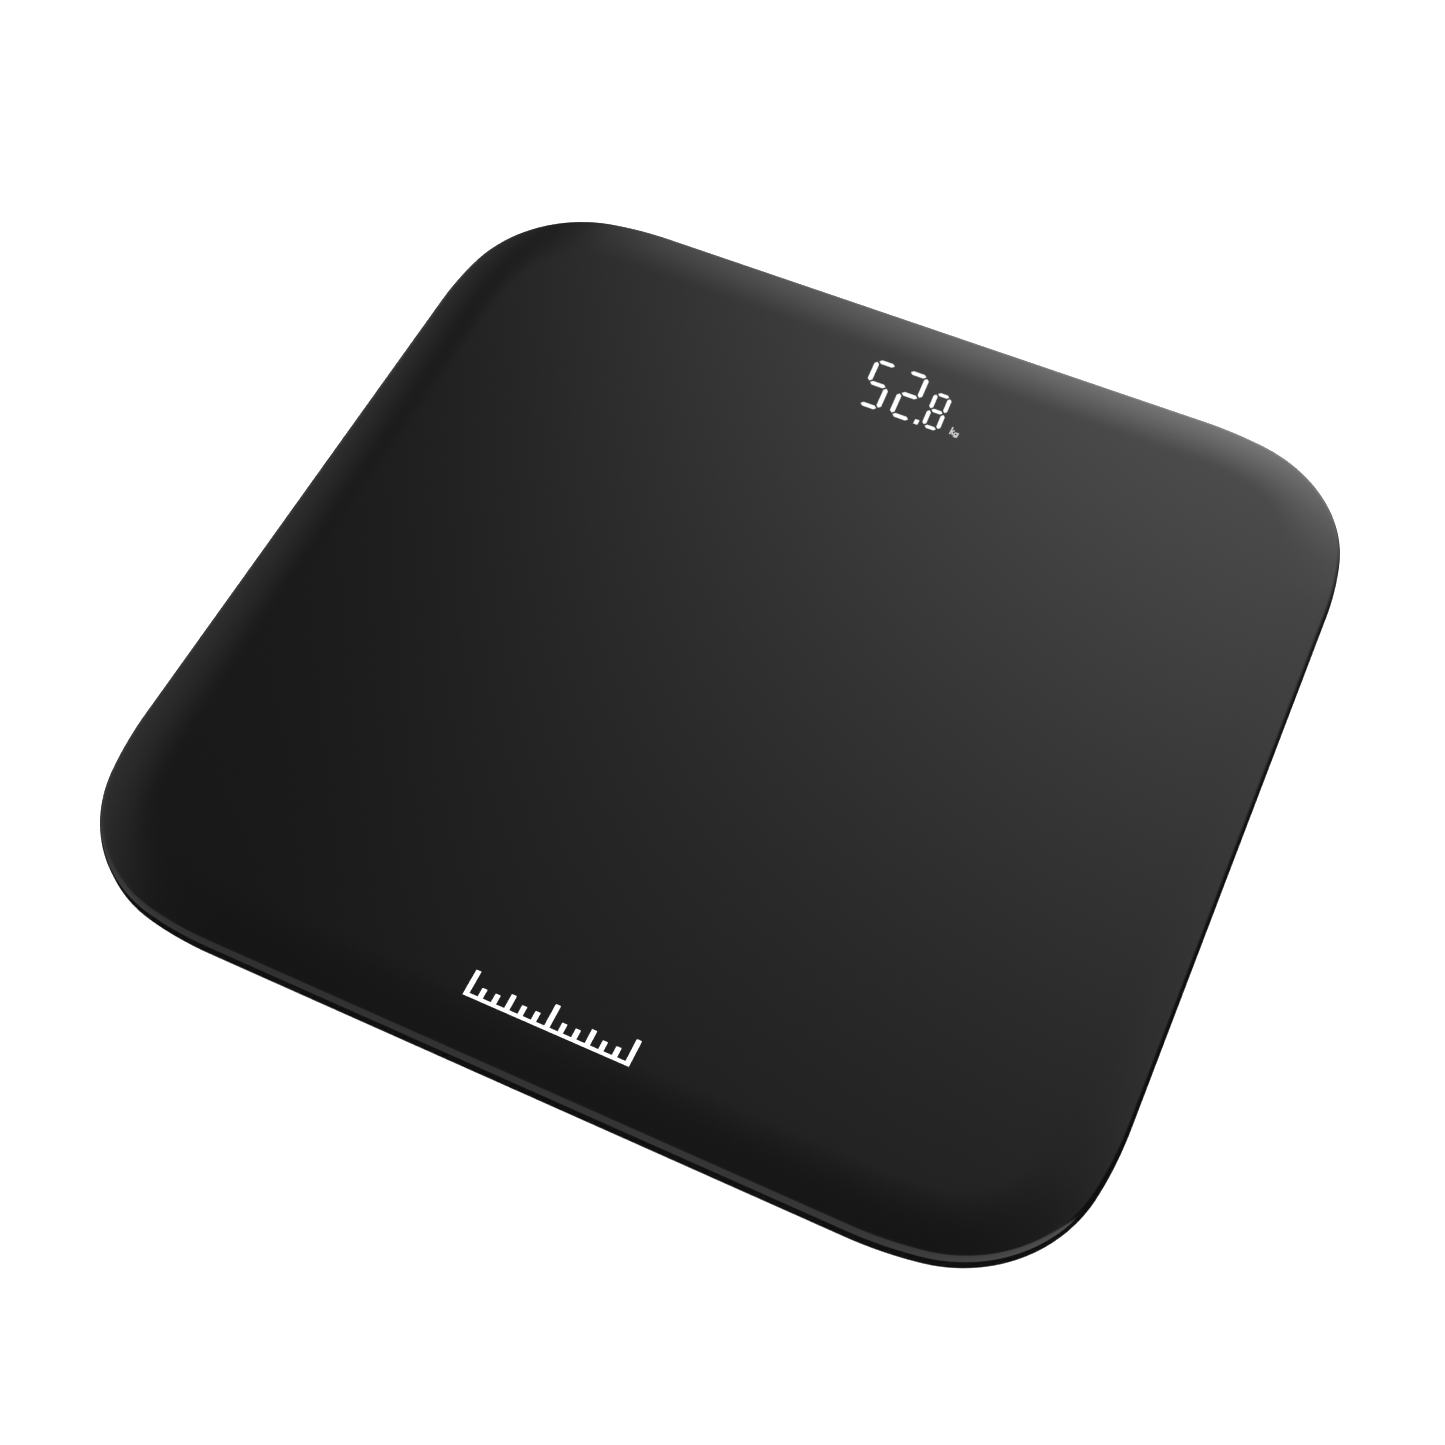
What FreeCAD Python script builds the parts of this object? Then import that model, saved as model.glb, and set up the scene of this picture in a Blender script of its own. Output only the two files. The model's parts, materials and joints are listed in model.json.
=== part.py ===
import FreeCAD, Part
import math
import os

os.makedirs("parts", exist_ok=True)
Vec = FreeCAD.Vector
UP = Vec(0, 0, 1)

# Digital bathroom scale. Millimetres, +X right, +Y towards the display end, +Z up.
# The origin is on the floor, under the middle of the platform.

# ---- plan outline of the platform: straight sides joined by three tangent arcs at each corner
platform_width = 290.0
platform_depth = 280.0
shoulder_radius = 105.0      # the gentle arc at each end of a corner
shoulder_sweep = 10.7        # degrees that it turns
nose_radius = 41.5           # the tight arc between two shoulders

# ---- heights and walls of the two shells
foot_clearance = 4.0         # floor to the underside of the base
rim_drop = 6.4               # how far the skirt hangs below the flat
roll_width = 17.4            # how far inside the edge the platform starts to fall
roll_radius = 95.0
edge_radius = 2.0
cover_wall = 3.0
skirt_wall = 2.2
cover_rib = 1.8
cover_rib_depth = 5.0
cover_rib_pitch = 27.0
base_wall = 2.2
base_top_inset = 8.0         # the base's wall stands this far inside the platform's edge at its top
base_bottom_inset = 14.0     # and this far at the underside
base_corner_radius = 4.0
base_rib = 1.6
base_rib_height = 3.0
base_rib_pitch = 36.0
rim_gap = 0.4                # top of the base's wall to the cover
ring_overlap = 8.0           # how far the flat of a shell belongs to its swept rim
rib_margin = 21.0            # ribs stop this far inside the platform's edge
keep_off = 3.0               # ribs stay this far from what they go round
past = 1.0                   # how far a cut or a joined piece runs past the face it starts from

# ---- feet and load cells, one set at each corner
foot_inset = 43.0            # foot axis to the platform's sides
pad_radius = 12.0
pad_stand = 2.0              # how far the rubber stands out of its cup
pad_seat = 1.2               # how deep the rubber sits in its cup
pad_groove = 0.5
pad_land = 2.4
pad_groove_width = 1.0
pad_chamfer = 1.0
cup_wall = 1.9
pad_fit = 0.1
cup_chamfer = 0.6
cup_gap = 0.6                # cup to the hole in the base
cup_flange = 1.5
cup_flange_height = 1.0
flange_lift = 0.4            # flange to the base's floor
foot_travel = 0.5
travel_spare = 0.5
pin_radius = 2.0
pin_fit = 0.1
pin_shoulder = 4.0
pin_tip = 0.6                # how far the pin stands out of the load cell
pin_chamfer = 0.4
cell_size = 34.0             # square steel plate of a half-bridge load cell
cell_plate = 2.2
cell_corner = 3.0
tongue_width = 13.0
tongue_root = 11.5           # foot axis to the root of the tongue
tongue_tip = 8.5
cell_slot = 2.4
bracket_plate = 1.5
bracket_ear = 23.5           # foot axis to each ear's screw
ear_radius = 4.6
ear_overlap = 2.0
cell_rib_room = 1.0          # ribs of the base to a bracket's ears
bracket_flange = 2.0
sealant_height = 1.5
sealant_depth = 6.0
sealant_face = 16.6          # foot axis to the sealant's inward face
sealant_corner = 2.0
sealant_round = 0.5
sealant_side_gap = 0.5       # sealant to each side of the tongue
load_bar = 3.0
pillar_radius = 2.4
post_radius = 0.8

# ---- screws
case_screw_shank = 1.45
case_screw_head = 2.8
case_screw_head_height = 1.8
case_screw_reach = 6.0
tower_wall = 1.6
tower_height = 7.0           # underside of the base to the seat of a cover boss
tower_seat = 1.5
tower_bore_gap = 0.5
cover_boss_radius = 3.6
side_screw_inset = 24.0
front_screw_inset = 22.0
front_screw_inboard = 42.0   # foot axis to a front screw, along X
back_screw_inboard = 56.0
back_screw_to_board = 12.0
small_screw_shank = 1.25
small_screw_head = 2.4
small_screw_head_height = 1.6
small_screw_reach = 4.0
small_boss_radius = 3.1
screw_hole_gap = 0.2
recess_width = 0.7
recess_length = 1.1          # half the cross recess, as a share of the head's radius
recess_depth = 0.55          # as a share of the head's height
head_round = 0.35            # as a share of the head's height
tip_length = 0.6             # the point of a shank, as a share of its radius
tip_radius = 0.4

# ---- battery bay, three AAA cells side by side
battery_diameter = 10.3
battery_length = 44.5
nub_radius = 1.9
nub_length = 1.2
battery_foot = 1.0           # chamfer round the flat end
battery_foot_length = 0.6
battery_shoulder = 0.5       # chamfer round the other end
battery_gap = 0.8            # between two cells
battery_end_room = 5.2       # both contacts and their bend
battery_lift = 0.4           # cell to door, and cell to roof
bay_centre_y = 8.0
bay_wall = 1.6
bay_roof = 1.4
bay_to_cover = 1.7           # roof of the bay to the cover
bay_ledge = 2.5
ledge_height = 1.8
door_thickness = 1.8
door_gap = 0.3
door_corner = 1.0
door_rib = 1.0
door_rib_height = 1.2
door_rib_end = 4.0           # end of a rib to the end of the cavity
grip_grooves = 3
grip_groove = 1.0
grip_groove_depth = 0.5
grip_pitch = 2.2
grip_from_edge = 4.0
grip_overhang = 2.0          # grooves reach this far past each side of the latch
hook_width = 8.0
hook_spread = 12.0           # middle of the door to each hook
hook_height = 1.2
hook_reach = 2.0
hook_gap = 0.1
pivot_lift = 0.2             # hinge line above the underside of the door
latch_width = 9.0
latch_nib = 0.6
latch_leaf = 1.1
latch_nib_root = 0.2
scoop_radius = 12.0
scoop_depth = 1.2
scoop_width = 15.0
contact_plate = 0.4
contact_size = 8.0
contact_bend = 3.0

# ---- display and main board
window_skin = 0.8            # what is left of the cover over the display
display_x = 2.0
display_from_board = 16.6    # middle of the digits to the back edge of the board
display_width = 56.0
display_depth = 27.0
display_height = 6.0
display_flange = 3.0
display_flange_height = 2.4
display_fit = 0.3
diffuser_film = 0.3
segment_plug = 2.0
digit_height = 19.3
digit_width = 7.5
digit_stroke = 1.45
digit_gap = 0.5
digit_lean = -3.8            # degrees, the tops lean to the left
digit_first_x = -15.5        # middle of the leading digit
digit_pitch = 10.5
small_digit_height = 14.6
small_digit_width = 5.8
small_digit_stroke = 1.25
small_digit_x = 15.5
point_x = 11.3
point_width = 1.3
point_depth = 1.8
unit_x = 23.4
unit_width = 2.8
unit_depth = 3.5
board_width = 84.0
board_depth = 42.0
board_plate = 1.6
board_room = 3.8             # board to the top of the base's wall
board_corner = 2.0
board_screw_inset = 4.0
led_length = 1.5
led_width = 0.8
led_height = 0.6

# ---- chips under the board, placed from the middle of the board
controller_x = 4.0
controller_y = 6.0
controller_width = 18.0
controller_depth = 7.5
controller_height = 2.3
controller_pins = 14         # along each long side
converter_x = -18.0
converter_y = 8.0
converter_width = 10.0
converter_depth = 4.0
converter_height = 1.6
converter_pins = 8
chip_lift = 0.1              # package to board
chip_end = 0.5               # first pin to the end of the package
pin_width = 0.4
pin_foot = 1.0               # how far a pin's foot reaches out
pin_foot_height = 0.2
pin_leg = 0.3
part_length = 1.6            # small capacitors and resistors
part_width = 0.9
part_height = 0.6
part_pitch = 4.0
part_row_pitch = 3.2
part_columns = 7
part_rows = 2
first_part_x = -8.0
first_part_y = -4.0

# ---- unit button on the underside, and its switch
button_x = -28.0
button_from_board = 9.0      # front edge of the board to the button
button_radius = 4.5
button_hole_gap = 0.3
button_sink = 0.4            # the cap sits this far inside the underside
button_flange = 1.6
button_flange_height = 1.0
button_flange_lift = 0.2
button_stem = 2.0
button_collar_gap = 0.4
button_collar_wall = 1.2
button_travel = 0.5
switch_size = 6.0
switch_height = 3.5
plunger_radius = 1.75
plunger_fit = 0.08
plunger_stand = 1.0
plunger_spare = 0.3          # room over the pressed plunger
switch_corner = 0.4
button_chamfer = 0.5

# ---- leads
core_radius = 0.55
core_pitch = 1.25
lead_lift = 0.2              # ribs of the base to the leads that cross them
lead_run_inboard = 30.0      # foot axis to the long run of a front lead, along X
lead_bend = 7.0
lead_straight = 6.0          # how far a lead goes straight past its load cell
lead_end_inset = 6.0         # board's side to a lead's end
back_lead_x = 34.0           # foot axis to where a back lead turns to the board
back_lead_y = 16.0
back_lead_pass = 4.5         # and it stays this far outboard of the front lead
back_lead_beside = 8.0       # that lead's climb to the board's side
back_lead_climb = -6.0       # its foot and its end, from the board's middle
back_lead_end = 2.0
front_lead_start = 38.0      # foot axis to the ends of a front lead's long run, along Y
front_lead_stop = 40.0
front_lead_beside = 13.0     # that lead's climb to the board's side
front_lead_in = 3.0          # and it stays this far inboard of the long run
front_lead_climb = 3.0       # its foot in front of the board
front_lead_end = -9.0        # its end, from the board's middle
battery_core_pitch = 2.0
battery_lead_bend = 4.0
battery_lead_inset = 6.0     # end of the cavity to the battery leads
battery_lead_out = 6.0       # how far they go straight out of the bay
battery_lead_fall = 18.0     # wall of the bay to where they are down
battery_lead_foot = 8.0      # where they rise, in front of the board
battery_lead_end = 6.0       # how far they reach under the board
battery_lead_step = 2.0      # each of those is this much further to the left
clip_wall = 1.0
clip_gap = 0.15
clip_length = 4.0
clip_rise = 1.5              # top of a clip above the middle of its lead
clip_places = (-1.5, 0.5)    # in rib pitches from the middle of the base
solder_radius = 0.9
solder_height = 0.7
solder_foot = 0.6            # as shares of its radius
solder_waist = 0.5
solder_ahead = 1.1
solder_tip = 0.15

# ---- levels and places that follow from the sizes above
half_width = platform_width / 2
half_depth = platform_depth / 2
arc_step = shoulder_radius - nose_radius
sweep_cos = math.cos(math.radians(shoulder_sweep))
sweep_sin = math.sin(math.radians(shoulder_sweep))
corner_reach = shoulder_radius - arc_step * (sweep_cos - sweep_sin)
nose_inset = shoulder_radius - arc_step * sweep_cos

floor_top = foot_clearance + base_wall
lead_height = floor_top + base_rib_height + lead_lift + core_radius

foot_x = half_width - foot_inset
foot_y = half_depth - foot_inset
CORNERS = {
    "front_left": (-1, -1),
    "front_right": (1, -1),
    "back_left": (-1, 1),
    "back_right": (1, 1),
}

cup_radius = pad_radius + cup_wall
cup_floor = pad_stand + pad_seat
flange_bottom = floor_top + flange_lift
flange_top = flange_bottom + cup_flange_height
cell_bottom = flange_top + foot_travel + travel_spare
cell_top = cell_bottom + cell_plate
bracket_top = cell_top + bracket_plate
pillar_offset = cell_size / 2 - cell_corner

tower_top = foot_clearance + tower_height
tower_radius = case_screw_head + tower_bore_gap + tower_wall

battery_pitch = battery_diameter + battery_gap
cavity_length = battery_length + battery_end_room
cavity_width = 3 * battery_pitch
opening_length = cavity_length + 2 * bay_ledge
opening_width = cavity_width + 2 * bay_ledge
door_top = foot_clearance + door_thickness
ledge_bottom = door_top + hook_gap
collar_top = ledge_bottom + ledge_height
battery_axis = door_top + battery_lift + battery_diameter / 2
roof_bottom = battery_axis + battery_diameter / 2 + battery_lift
roof_top = roof_bottom + bay_roof
hinge_x = -opening_length / 2
hinge_z = foot_clearance + pivot_lift
hook_bottom = max(floor_top, ledge_bottom) + hook_gap
hook_top = hook_bottom + hook_height

cover_under = roof_top + bay_to_cover
platform_height = cover_under + cover_wall      # floor to the flat of the platform
rim_bottom = platform_height - rim_drop

window_under = platform_height - window_skin
film_under = window_under - diffuser_film
board_top = film_under - display_height
board_bottom = board_top - board_plate
board_back = half_depth - base_top_inset - base_wall - board_room
display_y = board_back - display_from_board
board_front = board_back - board_depth
board_y = (board_back + board_front) / 2
flange_under_seal = board_top + display_flange_height

button_y = board_front + button_from_board
plunger_bottom = board_bottom - switch_height - plunger_stand
cap_bottom = foot_clearance + button_sink
button_flange_bottom = floor_top + button_flange_lift

CASE_SCREWS = []
for side in (-1, 1):
    CASE_SCREWS.append((side * (foot_x - front_screw_inboard), -(half_depth - front_screw_inset)))
    CASE_SCREWS.append((side * (half_width - side_screw_inset), 0.0))
    CASE_SCREWS.append((side * (foot_x - back_screw_inboard), board_front - back_screw_to_board))

BOARD_SCREWS = []
for side in (-1, 1):
    for board_edge in (board_front + board_screw_inset, board_back - board_screw_inset):
        BOARD_SCREWS.append((side * (board_width / 2 - board_screw_inset), board_edge))

BATTERIES = []
for place in (-1, 0, 1):
    facing = 1 if place % 2 else -1      # outer cells face right, the middle one left
    BATTERIES.append((bay_centre_y + place * battery_pitch, facing))


# ---- shared shapes
def block(x0, x1, y0, y1, z0, z1):
    return Part.makeBox(x1 - x0, y1 - y0, z1 - z0, Vec(x0, y0, z0))


def centred_block(x, y, width, depth, z0, z1):
    return block(x - width / 2, x + width / 2, y - depth / 2, y + depth / 2, z0, z1)


def rod(x, y, z0, z1, radius):
    return Part.makeCylinder(radius, z1 - z0, Vec(x, y, z0))


def rounded_block(x, y, width, depth, z0, z1, radius):
    """A block whose four upright edges are rounded."""
    upright = centred_block(x, y, width, depth, z0, z1)
    edges = [edge for edge in upright.Edges if abs(edge.tangentAt(edge.FirstParameter).z) > 0.99]
    return upright.makeFillet(radius, edges)


def prism(points, z0, z1):
    """A straight-sided outline in plan, raised from z0 to z1."""
    corners = [Vec(x, y, z0) for x, y in points]
    face = Part.Face(Part.makePolygon(corners + corners[:1]))
    return face.extrude(Vec(0, 0, z1 - z0))


def turned(points, x=0.0, y=0.0):
    """A (radius, height) outline turned about the upright axis through (x, y)."""
    corners = [Vec(radius, 0, height) for radius, height in points]
    face = Part.Face(Part.makePolygon(corners + corners[:1]))
    solid = face.revolve(Vec(0, 0, 0), UP, 360)
    solid.translate(Vec(x, y, 0))
    return solid


def joined(shapes):
    """One solid from pieces that touch or overlap."""
    if len(shapes) == 1:
        return shapes[0]
    return shapes[0].multiFuse(shapes[1:])


def group(solids):
    """Separate identical pieces that share one node."""
    return Part.makeCompound(solids)


def at_corner(shape, corner):
    """Places a piece made about the foot's axis, with its local +Y pointing out of the platform's corner."""
    side_x, side_y = CORNERS[corner]
    turn = math.degrees(math.atan2(side_y, side_x)) - 90
    placed = shape.copy()
    placed.rotate(Vec(0, 0, 0), UP, turn)
    placed.translate(Vec(side_x * foot_x, side_y * foot_y, 0))
    return placed


def corner_point(corner, across, outward):
    """Plan position of a point given in a corner's own frame."""
    side_x, side_y = CORNERS[corner]
    turn = math.atan2(side_y, side_x) - math.pi / 2
    x = side_x * foot_x + across * math.cos(turn) - outward * math.sin(turn)
    y = side_y * foot_y + across * math.sin(turn) + outward * math.cos(turn)
    return x, y


# ---- the plan outline
def outline_arcs():
    """The twelve arcs of the platform's edge, anticlockwise from the right: centre, radius, start, sweep."""
    arcs = []
    for quarter in range(4):
        side_x = 1 if quarter in (0, 3) else -1
        side_y = 1 if quarter in (0, 1) else -1
        beside = Vec(side_x * (half_width - shoulder_radius), side_y * (half_depth - corner_reach), 0)
        across = Vec(side_x * (half_width - corner_reach), side_y * (half_depth - shoulder_radius), 0)
        nose = Vec(side_x * (half_width - nose_inset), side_y * (half_depth - nose_inset), 0)
        first, last = (beside, across) if quarter % 2 == 0 else (across, beside)
        start = 90 * quarter
        nose_sweep = 90 - 2 * shoulder_sweep
        arcs.append((first, shoulder_radius, start, shoulder_sweep))
        arcs.append((nose, nose_radius, start + shoulder_sweep, nose_sweep))
        arcs.append((last, shoulder_radius, start + 90 - shoulder_sweep, shoulder_sweep))
    return arcs


def arc_point(centre, radius, angle):
    turn = math.radians(angle)
    return centre + Vec(radius * math.cos(turn), radius * math.sin(turn), 0)


def slab(inset, z0, z1):
    """The platform's outline drawn inset from its edge, raised from z0 to z1."""
    arcs = outline_arcs()
    edges = []
    for index, (centre, radius, start, sweep) in enumerate(arcs):
        low = arc_point(centre, radius - inset, start)
        middle = arc_point(centre, radius - inset, start + sweep / 2)
        high = arc_point(centre, radius - inset, start + sweep)
        edges.append(Part.Arc(low, middle, high).toShape())
        following = arcs[(index + 1) % len(arcs)]
        ahead = arc_point(following[0], following[1] - inset, following[2])
        if (ahead - high).Length > 0.001:
            edges.append(Part.LineSegment(high, ahead).toShape())
    face = Part.Face(Part.Wire(edges))
    face.translate(Vec(0, 0, z0))
    return face.extrude(Vec(0, 0, z1 - z0))


def swept_rim(profile):
    """Carries a section round the platform's edge: x is the distance outside that edge, z the height."""
    arcs = outline_arcs()
    pieces = []
    for index, (centre, radius, start, sweep) in enumerate(arcs):
        section = profile.copy()
        section.rotate(Vec(0, 0, 0), UP, start)
        section.translate(arc_point(centre, radius, start))
        pieces.append(section.revolve(centre, UP, sweep))
        following = arcs[(index + 1) % len(arcs)]
        high = arc_point(centre, radius, start + sweep)
        ahead = arc_point(*following[:3])
        if (ahead - high).Length > 0.001:
            section = profile.copy()
            section.rotate(Vec(0, 0, 0), UP, start + sweep)
            section.translate(high)
            pieces.append(section.extrude(ahead - high))
    return joined(pieces)


def line(start, end):
    return Part.LineSegment(Vec(start[0], 0, start[1]), Vec(end[0], 0, end[1])).toShape()


def bend(start, middle, end):
    points = [Vec(x, 0, z) for x, z in (start, middle, end)]
    return Part.Arc(*points).toShape()


def on_circle(centre, radius, angle):
    return (centre[0] + radius * math.cos(angle), centre[1] + radius * math.sin(angle))


# ---- the platform cover
roll_centre = (-roll_width, platform_height - roll_radius)


def cover_section():
    """The rim of the cover: skirt, tight edge, long roll-off and the start of the flat."""
    reach = roll_radius - edge_radius
    edge_centre_x = -edge_radius
    edge_centre_z = roll_centre[1] + math.sqrt(reach**2 - (edge_centre_x - roll_centre[0]) ** 2)
    edge_centre = (edge_centre_x, edge_centre_z)
    roll_end = math.atan2(edge_centre_z - roll_centre[1], edge_centre_x - roll_centre[0])
    quarter = math.pi / 2
    tangent = on_circle(edge_centre, edge_radius, roll_end)
    inner_radius = roll_radius - cover_wall
    inner_x = -skirt_wall
    inner_z = roll_centre[1] + math.sqrt(inner_radius**2 - (inner_x - roll_centre[0]) ** 2)
    inner_end = math.atan2(inner_z - roll_centre[1], inner_x - roll_centre[0])
    flat_start = (-roll_width, platform_height)
    flat_end = -(roll_width + ring_overlap)
    edges = [
        line((0, rim_bottom), (0, edge_centre_z)),
        bend((0, edge_centre_z), on_circle(edge_centre, edge_radius, roll_end / 2), tangent),
        bend(tangent, on_circle(roll_centre, roll_radius, (roll_end + quarter) / 2), flat_start),
        line(flat_start, (flat_end, platform_height)),
        line((flat_end, platform_height), (flat_end, cover_under)),
        line((flat_end, cover_under), (-roll_width, cover_under)),
        bend(
            (-roll_width, cover_under),
            on_circle(roll_centre, inner_radius, (inner_end + quarter) / 2),
            (inner_x, inner_z),
        ),
        line((inner_x, inner_z), (inner_x, rim_bottom)),
        line((inner_x, rim_bottom), (0, rim_bottom)),
    ]
    return Part.Face(Part.Wire(edges))


def cover_inner_height(inset):
    """Height of the cover's inner face at a distance inside the platform's edge."""
    inside = min(inset, roll_width)
    return roll_centre[1] + math.sqrt((roll_radius - cover_wall) ** 2 - (roll_width - inside) ** 2)


def rib_grid(pitch, thickness, z0, z1):
    """Crossed ribs over the whole plan, stopped inside the platform's edge."""
    bars = []
    columns = int((half_width - rib_margin) / pitch)
    rows = int((half_depth - rib_margin) / pitch)
    for step in range(-columns, columns + 1):
        bars.append(centred_block(step * pitch, 0, thickness, platform_depth, z0, z1))
    for step in range(-rows, rows + 1):
        bars.append(centred_block(0, step * pitch, platform_width, thickness, z0, z1))
    return joined(bars).common(slab(rib_margin, z0, z1))


def make_platform_cover():
    shell = swept_rim(cover_section()).fuse(slab(roll_width + ring_overlap, cover_under, platform_height))
    rib_bottom = cover_under - cover_rib_depth
    board_room = centred_block(
        0, board_y, board_width + 2 * keep_off, board_depth + 2 * keep_off, rib_bottom, cover_under
    )
    bay_room = centred_block(
        0,
        bay_centre_y,
        opening_length + 2 * bay_wall + 2 * keep_off,
        opening_width + 2 * bay_wall + 2 * keep_off,
        rib_bottom,
        cover_under,
    )
    ribs = rib_grid(cover_rib_pitch, cover_rib, rib_bottom, cover_under).cut([board_room, bay_room])
    added = [ribs]
    for corner in CORNERS:
        for side in (-1, 1):
            across = side * (cell_size / 2 - load_bar / 2)
            bar = centred_block(across, 0, load_bar, cell_size - 2 * cell_corner, bracket_top, cover_under)
            added.append(at_corner(bar, corner))
    for x, y in CASE_SCREWS:
        added.append(rod(x, y, tower_top, cover_under, cover_boss_radius))
    for x, y in BOARD_SCREWS:
        added.append(rod(x, y, board_top, cover_under, small_boss_radius))
    cover = shell.fuse(added)
    holes = [
        centred_block(
            display_x,
            display_y,
            display_width + 2 * display_fit,
            display_depth + 2 * display_fit,
            cover_under - past,
            window_under,
        )
    ]
    for x, y in CASE_SCREWS:
        holes.append(rod(x, y, tower_top - past, tower_top + case_screw_reach, case_screw_shank))
    for x, y in BOARD_SCREWS:
        holes.append(rod(x, y, board_top - past, board_top + small_screw_reach, small_screw_shank))
    return cover.cut(holes).removeSplitter()


# ---- the base shell
def base_section():
    """The wall of the base: flat underside, rounded foot and a wall that leans out to its top."""
    rim_top = cover_inner_height(base_top_inset) - rim_gap
    lean = math.atan2(rim_top - foot_clearance, base_bottom_inset - base_top_inset)
    half_turn = math.tan(lean / 2)
    outer = (-base_bottom_inset, foot_clearance)
    inner = (-base_bottom_inset - base_wall * half_turn, floor_top)
    inner_radius = base_corner_radius - base_wall
    edges = []
    ends = []
    for corner, radius in ((outer, base_corner_radius), (inner, inner_radius)):
        reach = radius * half_turn
        low = (corner[0] - reach, corner[1])
        high = (corner[0] + reach * math.cos(lean), corner[1] + reach * math.sin(lean))
        centre = (low[0], low[1] + radius)
        middle = on_circle(centre, radius, lean / 2 - math.pi / 2)
        edges.append(bend(low, middle, high))
        ends.append((low, high))
    outer_top = (-base_top_inset, rim_top)
    inner_top = (-base_top_inset - base_wall / math.sin(lean), rim_top)
    flat_end = -(base_bottom_inset + ring_overlap)
    edges.append(line(ends[0][1], outer_top))
    edges.append(line(outer_top, inner_top))
    edges.append(line(inner_top, ends[1][1]))
    edges.append(line(ends[1][0], (flat_end, floor_top)))
    edges.append(line((flat_end, floor_top), (flat_end, foot_clearance)))
    edges.append(line((flat_end, foot_clearance), ends[0][0]))
    return Part.Face(Part.Wire(Part.__sortEdges__(edges)))


def hook_notch(side):
    """Room in the bay's collar for one hook of the door through its whole swing."""
    y = bay_centre_y + side * hook_spread
    depth = hook_width + 4 * door_gap
    swing = math.hypot(hook_reach, hook_top - hinge_z) + door_gap
    over_floor = centred_block(
        hinge_x - hook_reach / 2, y, hook_reach + 3 * door_gap, depth, floor_top, hinge_z + swing
    )
    in_ledge = block(
        hinge_x, hinge_x + bay_ledge + past, y - depth / 2, y + depth / 2, ledge_bottom, hinge_z + swing
    )
    return [over_floor, in_ledge]


def latch_notch():
    """Slot in the bay's collar that the door's snap tongue stands in."""
    depth = latch_width + 4 * door_gap
    edge = opening_length / 2
    low = bay_centre_y - depth / 2
    high = bay_centre_y + depth / 2
    ledge_slot = block(edge - bay_ledge - past, edge, low, high, ledge_bottom, hook_top + past)
    catch = block(edge - past, edge + latch_nib, low, high, floor_top, hook_top + past)
    return [ledge_slot, catch]


def lead_clips():
    """Pairs of upright walls on the base's floor that hold the flat leads on their long runs."""
    walls = []
    inner = core_pitch + core_radius + clip_gap
    for side in (-1, 1):
        run_x = side * (foot_x - lead_run_inboard)
        for place in clip_places:
            y = place * base_rib_pitch
            for edge in (-1, 1):
                x = run_x + edge * (inner + clip_wall / 2)
                walls.append(centred_block(x, y, clip_wall, clip_length, floor_top, lead_height + clip_rise))
    return walls


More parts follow.
